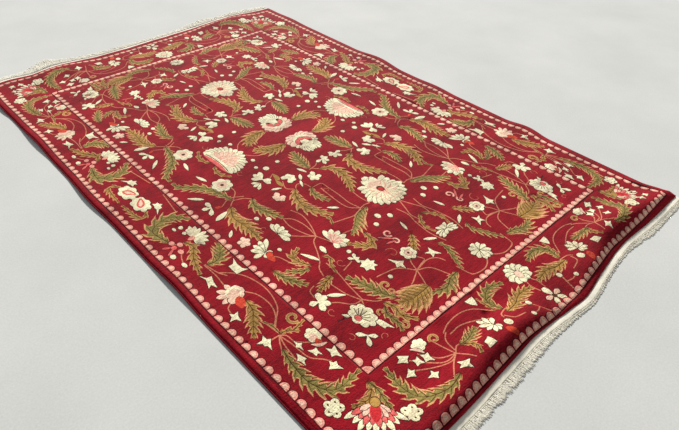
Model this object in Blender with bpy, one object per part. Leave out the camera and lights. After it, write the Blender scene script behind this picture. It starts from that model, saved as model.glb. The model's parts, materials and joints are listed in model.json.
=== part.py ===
"""A hand-knotted wool rug with knotted warp fringe, lying loose on a floor.

The pile rug is one slab that follows the outline and the raised waves of its edges. Beside it lie
the two overcast side cords and, past each end, a flat-woven web that carries the fringe locks.
The shapes are worked out about the middle of the woven field, and the empty named "rug" then
moves them so that the middle of the whole rug's box is the origin. Metres, +Z up.
"""

import math
import random

import bmesh
import bpy

# Driving sizes of the pile rug
PILE_HEIGHT = 0.009
LEFT_EDGE_X = -0.896
RIGHT_EDGE_X = 0.901
RIGHT_EDGE_SPLAY = 0.027
NEAR_EDGE_Y = -1.375
FAR_EDGE_Y = 1.420
PULLED_CORNER_OUT = 0.022
PULLED_CORNER_LENGTH = 0.055
GAP = 0.0003

# Overcast side cord: its width beside the pile and its height
CORD_WIDTH = 0.0075
CORD_HEIGHT = 0.0085

# Flat-woven end web and its fringe
WEB_THICKNESS = 0.003
WEB_WIDTH = 0.022
LOCKS_PER_COLUMN = 2
LOCK_ROOT_WIDTH = 0.0062
LOCK_TIP_WIDTH = 0.0026
LOCK_TIP_HEIGHT = 0.0016
LOCK_LENGTH_SPREAD = 0.22
LOCK_LEAN_SPREAD = 0.0035
FRINGE_SEED = 7

# Each end's edge strays from its straight line: place across the rug, then offset along it
NEAR_EDGE_STRAY = (
    (-0.90, -0.008),
    (-0.55, -0.007),
    (-0.30, 0.002),
    (-0.17, 0.006),
    (0.00, -0.010),
    (0.10, -0.019),
    (0.25, 0.001),
    (0.45, 0.020),
    (0.65, 0.011),
    (0.90, 0.010),
)
FAR_EDGE_STRAY = (
    (-0.90, -0.030),
    (-0.77, -0.002),
    (-0.66, -0.018),
    (-0.52, 0.009),
    (-0.28, -0.018),
    (0.05, -0.006),
    (0.35, 0.012),
    (0.62, 0.036),
    (0.80, 0.006),
    (0.95, 0.002),
)

# The raised ridge that runs along each end: place across, distance in from the edge, height
NEAR_RIDGE = (
    (-0.90, 0.030, 0.010),
    (-0.74, 0.036, 0.020),
    (-0.52, 0.038, 0.024),
    (-0.36, 0.056, 0.033),
    (-0.20, 0.050, 0.029),
    (-0.04, 0.030, 0.010),
    (0.05, 0.032, 0.003),
    (0.15, 0.052, 0.017),
    (0.26, 0.050, 0.028),
    (0.44, 0.078, 0.038),
    (0.64, 0.060, 0.032),
    (0.80, 0.040, 0.022),
    (0.90, 0.030, 0.010),
)
FAR_RIDGE = (
    (-0.90, 0.040, 0.000),
    (-0.72, 0.050, 0.005),
    (-0.52, 0.060, 0.013),
    (-0.28, 0.050, 0.000),
    (0.20, 0.050, 0.000),
    (0.58, 0.070, 0.015),
    (0.82, 0.050, 0.000),
    (0.95, 0.040, 0.000),
)
NEAR_RIDGE_INNER_REACH = 0.115
FAR_RIDGE_INNER_REACH = 0.130

# Low waves of the long sides: side, middle along the rug, half length, height, sideways bulge
SIDE_WAVES = (
    (1, 0.34, 0.20, 0.009, 0.012),
    (1, -0.67, 0.13, 0.008, 0.010),
    (1, 1.16, 0.16, 0.007, -0.004),
    (1, -0.10, 0.15, 0.004, 0.003),
    (-1, 0.72, 0.20, 0.008, -0.003),
    (-1, 0.18, 0.22, 0.005, 0.006),
    (-1, -0.46, 0.20, 0.005, -0.004),
    (-1, 1.14, 0.14, 0.006, 0.004),
)
SIDE_WAVE_REACH = 0.11

# Fringe along each end: place across, lock length, sideways lean of the tips
NEAR_FRINGE = (
    (-0.90, 0.034, -0.004),
    (-0.62, 0.030, 0.004),
    (-0.40, 0.031, 0.007),
    (-0.20, 0.027, 0.005),
    (0.00, 0.013, 0.002),
    (0.20, 0.009, 0.000),
    (0.40, 0.010, 0.002),
    (0.54, 0.024, 0.006),
    (0.70, 0.019, 0.004),
    (0.90, 0.016, 0.006),
)
FAR_FRINGE = (
    (-0.90, 0.045, 0.004),
    (-0.70, 0.050, 0.004),
    (-0.55, 0.120, 0.000),
    (-0.42, 0.060, -0.006),
    (-0.10, 0.046, -0.004),
    (0.20, 0.040, 0.004),
    (0.46, 0.075, 0.002),
    (0.60, 0.045, -0.004),
    (0.76, 0.070, 0.000),
    (0.95, 0.040, 0.004),
)

# Grid of the slab: columns across, and rows given by their distance from each end
COLUMNS = 44
NEAR_ROWS = (0.0, 0.016, 0.032, 0.052, 0.076, 0.104, 0.140, 0.190)
FAR_ROWS = (0.0, 0.030, 0.060, 0.100, 0.150, 0.200)
FIELD_ROWS = 16

# Principled materials, in linear light
PILE_COLOUR = (0.30, 0.018, 0.028, 1.0)
CORD_COLOUR = (0.12, 0.010, 0.016, 1.0)
WEB_COLOUR = (0.78, 0.72, 0.60, 1.0)
WOOL_ROUGHNESS = 0.95


def along(table, x, column=1):
    """Reads a column of a table at x on one smooth curve through its rows."""
    if x <= table[0][0]:
        return table[0][column]
    if x >= table[-1][0]:
        return table[-1][column]
    i = max(k for k in range(len(table) - 1) if table[k][0] <= x)
    before, start = table[max(i - 1, 0)], table[i]
    end, after = table[i + 1], table[min(i + 2, len(table) - 1)]
    span = end[0] - start[0]
    leave = (end[column] - before[column]) / (end[0] - before[0]) * span
    arrive = (after[column] - start[column]) / (after[0] - start[0]) * span
    t = (x - start[0]) / span
    return (
        (2 * t**3 - 3 * t**2 + 1) * start[column]
        + (t**3 - 2 * t**2 + t) * leave
        + (3 * t**2 - 2 * t**3) * end[column]
        + (t**3 - t**2) * arrive
    )


def bump(distance, reach):
    """1 at no distance, falling softly to exactly 0 at the reach and past it."""
    if abs(distance) >= reach:
        return 0.0
    return math.cos(math.pi / 2 * distance / reach) ** 2


def near_edge(x):
    return NEAR_EDGE_Y + along(NEAR_EDGE_STRAY, x)


def far_edge(x):
    return FAR_EDGE_Y + along(FAR_EDGE_STRAY, x)


def side_bulge(side, y):
    return sum(out * bump(y - middle, half) for s, middle, half, _, out in SIDE_WAVES if s == side)


def left_edge(y):
    return LEFT_EDGE_X - side_bulge(-1, y)


def right_edge(y):
    pulled = PULLED_CORNER_OUT * bump(y - NEAR_EDGE_Y, PULLED_CORNER_LENGTH)
    return RIGHT_EDGE_X + RIGHT_EDGE_SPLAY * y + side_bulge(1, y) + pulled


def ridge(table, x, from_edge, inner_reach):
    """Height of an end's ridge: 0 at the edge, highest at its distance in, 0 again past the reach."""
    peak_at = along(table, x, 1)
    height = max(along(table, x, 2), 0.0)
    reach = peak_at if from_edge < peak_at else inner_reach
    return height * bump(from_edge - peak_at, reach)


def lift(x, y):
    """How high the rug's underside stands off the floor at this place."""
    height = ridge(NEAR_RIDGE, x, y - near_edge(x), NEAR_RIDGE_INNER_REACH)
    height += ridge(FAR_RIDGE, x, far_edge(x) - y, FAR_RIDGE_INNER_REACH)
    for side, middle, half, rise, _ in SIDE_WAVES:
        inwards = right_edge(y) - x if side > 0 else x - left_edge(y)
        height += rise * bump(y - middle, half) * bump(max(inwards, 0.0), SIDE_WAVE_REACH)
    return height


def laid(across, lengthways):
    """The place on the floor of a point given as shares of the rug's width and length."""
    straight_x = LEFT_EDGE_X + across * (RIGHT_EDGE_X - LEFT_EDGE_X)
    straight_y = NEAR_EDGE_Y + lengthways * (FAR_EDGE_Y - NEAR_EDGE_Y)
    x = left_edge(straight_y) + across * (right_edge(straight_y) - left_edge(straight_y))
    y = near_edge(straight_x) + lengthways * (far_edge(straight_x) - near_edge(straight_x))
    return x, y


def column_shares():
    return [i / COLUMNS for i in range(COLUMNS + 1)]


def row_shares():
    """Rows lie close together on the ridges of the ends and far apart over the flat field."""
    length = FAR_EDGE_Y - NEAR_EDGE_Y
    start = NEAR_ROWS[-1] / length
    end = 1 - FAR_ROWS[-1] / length
    shares = [row / length for row in NEAR_ROWS]
    shares += [start + (end - start) * k / FIELD_ROWS for k in range(1, FIELD_ROWS)]
    shares += [1 - row / length for row in reversed(FAR_ROWS)]
    return shares


def wool(name, colour):
    material = bpy.data.materials.new(name)
    material.use_nodes = True
    shader = material.node_tree.nodes["Principled BSDF"]
    shader.inputs["Base Color"].default_value = colour
    shader.inputs["Roughness"].default_value = WOOL_ROUGHNESS
    shader.inputs["Metallic"].default_value = 0.0
    return material


def add_object(name, form, material, parent):
    bmesh.ops.recalc_face_normals(form, faces=form.faces)
    mesh = bpy.data.meshes.new(name)
    form.to_mesh(mesh)
    form.free()
    mesh.materials.append(material)
    thing = bpy.data.objects.new(name, mesh)
    thing.parent = parent
    bpy.context.collection.objects.link(thing)
    return thing


def close_ends(form, first, last):
    form.faces.new(list(reversed(first)))
    form.faces.new(last)


def bridge(form, ring, next_ring):
    """Joins two rings of equally many points with a band of faces."""
    count = len(ring)
    for k in range(count):
        after = (k + 1) % count
        form.faces.new((ring[k], ring[after], next_ring[after], next_ring[k]))


def pile_rug():
    """One slab: an under and an upper grid of points, and walls round the rim."""
    form = bmesh.new()
    columns, rows = column_shares(), row_shares()
    under, upper = {}, {}
    for j, lengthways in enumerate(rows):
        for i, across in enumerate(columns):
            x, y = laid(across, lengthways)
            z = lift(x, y)
            under[i, j] = form.verts.new((x, y, z))
            upper[i, j] = form.verts.new((x, y, z + PILE_HEIGHT))
    last_i, last_j = len(columns) - 1, len(rows) - 1
    for j in range(last_j):
        for i in range(last_i):
            square = [(i, j), (i + 1, j), (i + 1, j + 1), (i, j + 1)]
            form.faces.new([upper[c] for c in square])
            form.faces.new([under[c] for c in reversed(square)])
    rim = [(i, 0) for i in range(last_i)] + [(last_i, j) for j in range(last_j)]
    rim += [(i, last_j) for i in range(last_i, 0, -1)] + [(0, j) for j in range(last_j, 0, -1)]
    for k, here in enumerate(rim):
        after = rim[(k + 1) % len(rim)]
        form.faces.new((under[here], under[after], upper[after], upper[here]))
    return form


def side_cord(side):
    """The overcast cord of one long side, flat against the pile and rounded outside."""
    section = (
        (0.0, 0.0),
        (0.68, 0.0),
        (1.0, 0.34),
        (1.0, 0.66),
        (0.68, 1.0),
        (0.0, 1.0),
    )
    form = bmesh.new()
    rings = []
    for lengthways in row_shares():
        x, y = laid(1.0 if side > 0 else 0.0, lengthways)
        z = lift(x, y)
        ring = []
        for out, up in section:
            outwards = side * (GAP + out * CORD_WIDTH)
            ring.append(form.verts.new((x + outwards, y, z + up * CORD_HEIGHT)))
        rings.append(ring)
    for ring, next_ring in zip(rings, rings[1:]):
        bridge(form, ring, next_ring)
    close_ends(form, rings[0], rings[-1])
    return form


def slab_end_point(far, across):
    """A point on the slab's own end edge, which runs straight from column to column."""
    place = min(across * COLUMNS, COLUMNS - 1e-9)
    column = int(place)
    lengthways = 1.0 if far else 0.0
    x0, y0 = laid(column / COLUMNS, lengthways)
    x1, y1 = laid((column + 1) / COLUMNS, lengthways)
    t = place - column
    return x0 + (x1 - x0) * t, y0 + (y1 - y0) * t


def web_ring(form, far, across):
    """Four corners of the web's section here: inner low, outer low, outer high, inner high."""
    outwards = 1 if far else -1
    x, y = slab_end_point(far, across)
    inner = y + outwards * GAP
    outer = inner + outwards * WEB_WIDTH
    corners = ((inner, 0.0), (outer, 0.0), (outer, WEB_THICKNESS), (inner, WEB_THICKNESS))
    return [form.verts.new((x, along_y, z)) for along_y, z in corners]


def web_stations():
    """Shares across the rug where the web gets a section, and whether a lock's root starts there."""
    pitch = 1.0 / (COLUMNS * LOCKS_PER_COLUMN)
    root = LOCK_ROOT_WIDTH / (RIGHT_EDGE_X - LEFT_EDGE_X)
    stations = []
    for k in range(COLUMNS * LOCKS_PER_COLUMN):
        if k % LOCKS_PER_COLUMN == 0:
            stations.append((k * pitch, False))
        middle = (k + 0.5) * pitch
        stations += [(middle - root / 2, True), (middle + root / 2, False)]
    stations.append((1.0, False))
    return stations


def end_fringe(far):
    """A web strip of short lengths, with a tapered lock drawn out at each root."""
    draw = random.Random(FRINGE_SEED + (1 if far else 0))
    table = FAR_FRINGE if far else NEAR_FRINGE
    outwards = 1 if far else -1
    form = bmesh.new()
    stations = web_stations()
    rings = [web_ring(form, far, across) for across, _ in stations]
    for (_, starts_lock), ring, next_ring in zip(stations, rings, rings[1:]):
        inner_low, outer_low, outer_high, inner_high = ring
        next_inner_low, next_outer_low, next_outer_high, next_inner_high = next_ring
        form.faces.new((inner_low, outer_low, next_outer_low, next_inner_low))
        form.faces.new((outer_high, inner_high, next_inner_high, next_outer_high))
        form.faces.new((inner_high, inner_low, next_inner_low, next_inner_high))
        mouth = (outer_low, next_outer_low, next_outer_high, outer_high)
        if not starts_lock:
            form.faces.new(mouth)
            continue
        x = (outer_low.co.x + next_outer_low.co.x) / 2
        y = (outer_low.co.y + next_outer_low.co.y) / 2
        length = along(table, x, 1) * (1 + draw.uniform(-1, 1) * LOCK_LENGTH_SPREAD)
        lean = along(table, x, 2) + draw.uniform(-1, 1) * LOCK_LEAN_SPREAD
        tip_y = y + outwards * length
        half = LOCK_TIP_WIDTH / 2
        corners = ((-half, 0.0), (half, 0.0), (half, LOCK_TIP_HEIGHT), (-half, LOCK_TIP_HEIGHT))
        tip = [form.verts.new((x + lean + across, tip_y, z)) for across, z in corners]
        bridge(form, mouth, tip)
        form.faces.new(tip)
    close_ends(form, rings[0], rings[-1])
    return form


def middle_of(things):
    """The middle of the box round all the objects' points, across and along."""
    points = [vertex.co for thing in things for vertex in thing.data.vertices]
    xs = [point.x for point in points]
    ys = [point.y for point in points]
    return (min(xs) + max(xs)) / 2, (min(ys) + max(ys)) / 2


def build():
    for thing in list(bpy.data.objects):
        bpy.data.objects.remove(thing)
    rug = bpy.data.objects.new("rug", None)
    bpy.context.collection.objects.link(rug)
    crimson = wool("crimson_pile", PILE_COLOUR)
    dark_red = wool("dark_red_overcasting", CORD_COLOUR)
    cream = wool("cream_warp", WEB_COLOUR)
    pieces = [
        add_object("rug_pile", pile_rug(), crimson, rug),
        add_object("selvedge_left", side_cord(-1), dark_red, rug),
        add_object("selvedge_right", side_cord(1), dark_red, rug),
        add_object("end_fringe_near", end_fringe(False), cream, rug),
        add_object("end_fringe_far", end_fringe(True), cream, rug),
    ]
    middle_x, middle_y = middle_of(pieces)
    rug.location = (-middle_x, -middle_y, 0.0)


build()
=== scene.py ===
# %% [markdown]
# # A hand-knotted wool rug with scrolling leaves
#
# This lesson dresses a finished model of a crimson wool rug. The model is the frame: it fixes where
# the pile, the two side cords and the two fringed ends lie, and every piece made here stands in for
# one of those. The frame is loaded first, and its box is kept.

# %% Load the frame
import json
import math
import random

import bmesh
import bpy
import numpy as np
from mathutils import Matrix, Vector
from mathutils.geometry import delaunay_2d_cdt

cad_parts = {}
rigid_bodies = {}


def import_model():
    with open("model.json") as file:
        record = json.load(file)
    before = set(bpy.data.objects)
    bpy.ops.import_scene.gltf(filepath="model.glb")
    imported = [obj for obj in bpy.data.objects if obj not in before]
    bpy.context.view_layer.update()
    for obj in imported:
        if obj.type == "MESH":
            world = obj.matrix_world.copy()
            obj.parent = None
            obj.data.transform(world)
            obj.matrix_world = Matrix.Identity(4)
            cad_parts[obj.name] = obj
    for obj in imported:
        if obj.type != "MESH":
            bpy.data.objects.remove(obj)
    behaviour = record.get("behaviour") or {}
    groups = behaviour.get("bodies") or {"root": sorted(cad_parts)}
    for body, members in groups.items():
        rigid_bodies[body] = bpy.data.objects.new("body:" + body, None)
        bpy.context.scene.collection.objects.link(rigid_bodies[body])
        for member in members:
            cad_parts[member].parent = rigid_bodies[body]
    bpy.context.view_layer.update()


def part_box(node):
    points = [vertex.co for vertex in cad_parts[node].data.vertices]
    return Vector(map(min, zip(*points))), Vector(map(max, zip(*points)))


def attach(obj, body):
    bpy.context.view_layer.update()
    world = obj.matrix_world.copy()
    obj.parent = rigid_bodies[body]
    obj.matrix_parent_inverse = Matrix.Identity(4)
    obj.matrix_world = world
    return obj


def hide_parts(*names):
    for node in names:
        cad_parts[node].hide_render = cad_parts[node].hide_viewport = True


for start_up_object in list(bpy.data.objects):
    bpy.data.objects.remove(start_up_object)
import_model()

# %% [markdown]
# ## The rug's outline and its waves
#
# A rug that was rolled up doesn't lie straight. Its ends wander by a few centimetres, and a ridge
# stands along each end where the rug was bent. The frame was worked out from short tables of these
# wanderings. The same tables are repeated here, because the pile has to follow the same outline and
# the same ridges. Lengths are metres from the middle of the woven field, across the rug and along it.

# %% Sizes of the laid rug
PILE_HEIGHT = 0.009
LEFT_EDGE_X = -0.896
RIGHT_EDGE_X = 0.901
RIGHT_EDGE_SPLAY = 0.027
NEAR_EDGE_Y = -1.375
FAR_EDGE_Y = 1.420
PULLED_CORNER_OUT = 0.022
PULLED_CORNER_LENGTH = 0.055

# Each end's edge strays from its straight line: place across the rug, then offset along it
NEAR_EDGE_STRAY = (
    (-0.90, -0.008), (-0.55, -0.007), (-0.30, 0.002), (-0.17, 0.006), (0.00, -0.010),
    (0.10, -0.019), (0.25, 0.001), (0.45, 0.020), (0.65, 0.011), (0.90, 0.010),
)
FAR_EDGE_STRAY = (
    (-0.90, -0.030), (-0.77, -0.002), (-0.66, -0.018), (-0.52, 0.009), (-0.28, -0.018),
    (0.05, -0.006), (0.35, 0.012), (0.62, 0.036), (0.80, 0.006), (0.95, 0.002),
)

# The ridge along each end: place across, distance in from the edge, height
NEAR_RIDGE = (
    (-0.90, 0.030, 0.010), (-0.74, 0.036, 0.020), (-0.52, 0.038, 0.024), (-0.36, 0.056, 0.033),
    (-0.20, 0.050, 0.029), (-0.04, 0.030, 0.010), (0.05, 0.032, 0.003), (0.15, 0.052, 0.017),
    (0.26, 0.050, 0.028), (0.44, 0.078, 0.038), (0.64, 0.060, 0.032), (0.80, 0.040, 0.022),
    (0.90, 0.030, 0.010),
)
FAR_RIDGE = (
    (-0.90, 0.040, 0.000), (-0.72, 0.050, 0.005), (-0.52, 0.060, 0.013), (-0.28, 0.050, 0.000),
    (0.20, 0.050, 0.000), (0.58, 0.070, 0.015), (0.82, 0.050, 0.000), (0.95, 0.040, 0.000),
)
NEAR_RIDGE_INNER_REACH = 0.115
FAR_RIDGE_INNER_REACH = 0.130

# Low waves of the long sides: side, middle along the rug, half length, height, sideways bulge
SIDE_WAVES = (
    (1, 0.34, 0.20, 0.009, 0.012), (1, -0.67, 0.13, 0.008, 0.010),
    (1, 1.16, 0.16, 0.007, -0.004), (1, -0.10, 0.15, 0.004, 0.003),
    (-1, 0.72, 0.20, 0.008, -0.003), (-1, 0.18, 0.22, 0.005, 0.006),
    (-1, -0.46, 0.20, 0.005, -0.004), (-1, 1.14, 0.14, 0.006, 0.004),
)
SIDE_WAVE_REACH = 0.11
print("plain pile", RIGHT_EDGE_X - LEFT_EDGE_X, "by", FAR_EDGE_Y - NEAR_EDGE_Y, "m")

# %% [markdown]
# A table gives only a few rows, and a smooth curve runs through them. The curve is worked out once
# at every millimetre across the rug. After that numpy can look up a whole mesh of points in one call,
# which is what keeps a lesson with this many points quick.

# %% Curves through the tables
PLACES = np.linspace(-1.0, 1.0, 2001)


def along(table, x, column=1):
    if x <= table[0][0]:
        return table[0][column]
    if x >= table[-1][0]:
        return table[-1][column]
    i = max(k for k in range(len(table) - 1) if table[k][0] <= x)
    before, start = table[max(i - 1, 0)], table[i]
    end, after = table[i + 1], table[min(i + 2, len(table) - 1)]
    span = end[0] - start[0]
    leave = (end[column] - before[column]) / (end[0] - before[0]) * span
    arrive = (after[column] - start[column]) / (after[0] - start[0]) * span
    t = (x - start[0]) / span
    return (
        (2 * t**3 - 3 * t**2 + 1) * start[column]
        + (t**3 - 2 * t**2 + t) * leave
        + (3 * t**2 - 2 * t**3) * end[column]
        + (t**3 - t**2) * arrive
    )


def curve_of(table, column=1):
    heights = np.array([along(table, place, column) for place in PLACES])
    return lambda x: np.interp(x, PLACES, heights)


near_stray = curve_of(NEAR_EDGE_STRAY)
far_stray = curve_of(FAR_EDGE_STRAY)
near_ridge_place, near_ridge_height = curve_of(NEAR_RIDGE, 1), curve_of(NEAR_RIDGE, 2)
far_ridge_place, far_ridge_height = curve_of(FAR_RIDGE, 1), curve_of(FAR_RIDGE, 2)


def bump(distance, reach):
    near = np.abs(distance) < reach
    return np.where(near, np.cos(np.pi / 2 * distance / reach) ** 2, 0.0)


def near_edge(x):
    return NEAR_EDGE_Y + near_stray(x)


def far_edge(x):
    return FAR_EDGE_Y + far_stray(x)


def side_bulge(side, y):
    return sum(out * bump(y - middle, half) for s, middle, half, _, out in SIDE_WAVES if s == side)


def left_edge(y):
    return LEFT_EDGE_X - side_bulge(-1, y)


def right_edge(y):
    pulled = PULLED_CORNER_OUT * bump(y - NEAR_EDGE_Y, PULLED_CORNER_LENGTH)
    return RIGHT_EDGE_X + RIGHT_EDGE_SPLAY * y + side_bulge(1, y) + pulled


print("near edge strays", round(float(np.ptp(near_edge(PLACES))) * 1000), "mm")

# %% [markdown]
# The height of the rug above the floor is a sum of soft bumps: one ridge along each end and the low
# waves of the long sides. The pile's own thickness comes on top of that.

# %% Lift of the rug off the floor
def ridge(place, height, from_edge, inner_reach):
    reach = np.where(from_edge < place, place, inner_reach)
    return np.maximum(height, 0.0) * bump(from_edge - place, reach)


def lift(x, y):
    x, y = np.asarray(x, float), np.asarray(y, float)
    rise = ridge(near_ridge_place(x), near_ridge_height(x), y - near_edge(x), NEAR_RIDGE_INNER_REACH)
    rise = rise + ridge(
        far_ridge_place(x), far_ridge_height(x), far_edge(x) - y, FAR_RIDGE_INNER_REACH
    )
    for side, middle, half, height, _ in SIDE_WAVES:
        inwards = right_edge(y) - x if side > 0 else x - left_edge(y)
        rise = rise + height * bump(y - middle, half) * bump(np.maximum(inwards, 0), SIDE_WAVE_REACH)
    return rise


rows = np.linspace(NEAR_EDGE_Y, FAR_EDGE_Y, 800)
pile_low, pile_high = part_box("rug_pile")
MIDDLE_X = (left_edge(rows).min() + right_edge(rows).max() - pile_low.x - pile_high.x) / 2
across = PLACES[(PLACES > LEFT_EDGE_X) & (PLACES < RIGHT_EDGE_X)]
MIDDLE_Y = (near_edge(across).min() + far_edge(across).max() - pile_low.y - pile_high.y) / 2
print("the frame's middle in field lengths", round(float(MIDDLE_X), 4), round(float(MIDDLE_Y), 4))

# %% [markdown]
# ## One quarter of a drawing, laid four times
#
# A weaver ties such a design from a drawing of a quarter of the rug and mirrors it. The motifs are
# therefore placed once, in centimetres along and across from the middle. The function below lays
# a point of that drawing on the real rug, whose field was beaten a little tighter at one end, and
# whose borders end at uneven edges.

# %% From the drawing to the rug
CM = 100.0
INNER_ALONG, INNER_ACROSS = 112.3, 65.7
OUTER_ALONG, OUTER_ACROSS = 136.0, 86.8
EDGE_ALONG, EDGE_ACROSS = 138.6, 89.8
FIELD_SHIFT_X, FIELD_SHIFT_Y = 0.010, 0.053
LEFT_BAND, RIGHT_BAND, FAR_BAND = 0.031, 0.034, 0.038
# The plain band past the near guard is 25 mm wide. Where the ridge falls steeply to the floor, it
# covers less of the floor: place across, width seen from above
NEAR_BAND_SEEN = (
    (-0.90, 0.016), (-0.60, 0.012), (-0.35, 0.011), (-0.22, 0.010), (-0.14, 0.007), (-0.06, 0.008),
    (0.03, 0.018), (0.12, 0.025), (0.24, 0.020), (0.38, 0.018), (0.47, 0.012), (0.58, 0.017),
    (0.70, 0.022), (0.90, 0.027),
)
near_band = curve_of(NEAR_BAND_SEEN)


def stretched(value, inner, outer, edge, inner_real, outer_real, edge_real):
    """Reads a border's place between the inner guard, the outer guard and the edge."""
    share = np.clip((value - inner) / (outer - inner), 0, 1)
    beyond = np.clip((value - outer) / (edge - outer), 0, 1)
    return inner_real + share * (outer_real - inner_real) + beyond * (edge_real - outer_real)


def lay(points, side, end):
    """Metres on the rug of points of the drawing, in the quarter of this side and this end."""
    points = np.asarray(points, float)
    v, u = points[:, 0], points[:, 1]
    x = side * u / CM + FIELD_SHIFT_X * np.maximum(1 - (u / INNER_ACROSS) ** 2, 0)
    y = end * v / CM + FIELD_SHIFT_Y * np.maximum(1 - (v / INNER_ALONG) ** 2, 0)
    edge_x = right_edge(y) if side > 0 else left_edge(y)
    guard_x = edge_x - side * (RIGHT_BAND if side > 0 else LEFT_BAND)
    edge_y = far_edge(x) if end > 0 else near_edge(x)
    guard_y = edge_y - end * (FAR_BAND if end > 0 else near_band(x))
    inner_x, inner_y = side * INNER_ACROSS / CM, end * INNER_ALONG / CM
    out_x = stretched(u, INNER_ACROSS, OUTER_ACROSS, EDGE_ACROSS, inner_x, guard_x, edge_x)
    out_y = stretched(v, INNER_ALONG, OUTER_ALONG, EDGE_ALONG, inner_y, guard_y, edge_y)
    return np.stack([np.where(u > INNER_ACROSS, out_x, x), np.where(v > INNER_ALONG, out_y, y)], 1)


corner = lay([(INNER_ALONG, INNER_ACROSS)], -1, -1)[0]
print("near left corner of the field", corner.round(3))

# %% [markdown]
# ## Drawing with yarn
#
# Each motif is a stack of closed outlines, and each outline has one yarn colour. They are painted in
# order: a dark line first, then the body a little smaller, then the details. A smooth outline comes
# from a few points with a spline through them. A ribbon along a spine, with a half width at each
# place, makes petals, stems and leaves alike.

# %% Yarns and the basic strokes
YARNS = (
    "crimson", "maroon", "cream", "blush", "salmon", "rose",
    "gold", "moss", "tan", "walnut", "vine", "brick", "ember",
)
LINE = 0.26
woven = []


def stroke(yarn, points):
    woven.append((YARNS.index(yarn), np.asarray(points, float)))


def smooth(points, gap=0.6, closed=False):
    """Points about a gap apart on a spline through the given ones."""
    points = np.asarray(points, float)
    count = len(points)
    line = []
    for i in range(count if closed else count - 1):
        if closed:
            a, b, c, d = (points[(i + k) % count] for k in (-1, 0, 1, 2))
        else:
            b, c = points[i], points[i + 1]
            a = points[i - 1] if i else 2 * b - c
            d = points[i + 2] if i + 2 < count else 2 * c - b
        pieces = max(1, round(float(np.linalg.norm(c - b)) / gap))
        for t in np.arange(pieces) / pieces:
            line.append(
                b + 0.5 * t * ((c - a) + t * (2 * a - 5 * b + 4 * c - d + t * (3 * (b - c) + d - a)))
            )
    if not closed:
        line.append(points[-1])
    return np.array(line)


def square_to(line):
    """The direction of a line at each of its points, turned a quarter to the left."""
    step = np.gradient(line, axis=0)
    step /= np.maximum(np.linalg.norm(step, axis=1, keepdims=True), 1e-9)
    return np.stack([-step[:, 1], step[:, 0]], 1)


def ribbon(line, half_widths):
    """An outline along a line, with a half width at each of its points."""
    out = square_to(line) * np.asarray(half_widths, float).reshape(-1, 1)
    return np.concatenate([line + out, (line - out)[::-1]])


def area_sign(points):
    x, y = points[:, 0], points[:, 1]
    return np.sign(np.sum(x * np.roll(y, -1) - y * np.roll(x, -1)))


def grown(points, by):
    """The outline moved outwards by a small amount."""
    points = np.asarray(points, float)
    step = np.roll(points, -1, 0) - np.roll(points, 1, 0)
    step /= np.maximum(np.linalg.norm(step, axis=1, keepdims=True), 1e-9)
    out = np.stack([step[:, 1], -step[:, 0]], 1) * area_sign(points)
    return points + out * by


def outlined(yarn, shapes, line=LINE, line_yarn="maroon"):
    """Paints shapes with one shared dark line round them all."""
    for shape in shapes:
        stroke(line_yarn, grown(shape, line))
    for shape in shapes:
        stroke(yarn, shape)


print(len(YARNS), "yarns")

# %% [markdown]
# A petal is a ribbon from its base to its tip, widest past the middle. A leaf is a ribbon whose two
# sides are cut into teeth that lean towards the tip. It is painted three times: a tan rim, the gold
# body inside it, and the brown midrib with a vein to each tooth.

# %% Petals, leaves and stems
PETAL_ROUNDNESS = 0.62
LEAF_ROUNDNESS = 0.6
# One tooth of a leaf: its places along the pitch, each with its share of the reach and its lean
NOTCH_PLACE = 0.12
TOOTH = ((0.42, 0.80, 0.20), (0.56, 1.08, 0.72), (0.74, 0.62, 0.25))
VEINED_REACH = 1.2


def petal(base, tip, width, belly=0.62, bend=0.0):
    base, tip = np.asarray(base, float), np.asarray(tip, float)
    across_it = np.array([base[1] - tip[1], tip[0] - base[0]]) * bend
    middle = (base + tip) / 2 + across_it
    line = smooth([base, middle, tip], 0.7)
    t = np.linspace(0.0, 1.0, len(line)) ** (math.log(0.5) / math.log(belly))
    return ribbon(line, width / 2 * np.sin(np.pi * np.clip(t, 0.02, 0.985)) ** PETAL_ROUNDNESS)


def leaf(spine, left, right, teeth, body="gold"):
    line = smooth(spine, 0.35)
    side = square_to(line)
    forward = np.stack([side[:, 1], -side[:, 0]], 1)

    def at(t, out, lean):
        i = min(int(t * (len(line) - 1) + 0.5), len(line) - 1)
        reach = left if out > 0 else right
        width = abs(out) * reach * max(math.sin(math.pi * t**0.85), 0.12) ** LEAF_ROUNDNESS
        return line[i] + side[i] * math.copysign(width, out) + forward[i] * lean * width

    def outline(fill, notch):
        edge = [[line[0]], [line[0]]]
        for k in range(teeth):
            for which, sign in enumerate((1, -1)):
                edge[which].append(at((k + NOTCH_PLACE) / teeth, sign * notch, 0.0))
                for place, share, lean in TOOTH:
                    edge[which].append(at((k + place) / teeth, sign * fill * share, lean))
        return np.array(edge[0] + [line[-1]] + edge[1][:0:-1])

    stroke("tan", outline(1.0, 0.42))
    stroke(body, outline(0.78, 0.28))
    stroke("walnut", ribbon(line, np.interp(np.arange(len(line)), [0, len(line) * 0.9], [0.17, 0.07])))
    for k in range(teeth):
        for sign in (1, -1):
            if (left if sign > 0 else right) < VEINED_REACH:
                continue
            start = at((k + 0.05) / teeth, sign * 0.04, 0)
            finish = at((k + 0.55) / teeth, sign * 0.72, 0.5)
            vein = np.array([start, (start + finish) / 2, finish])
            stroke("walnut", ribbon(vein, [0.09, 0.12, 0.04]))


def vine(points, half=0.2, yarn="vine"):
    line = smooth(points, 0.9)
    stroke(yarn, ribbon(line, np.full(len(line), half)))


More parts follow.
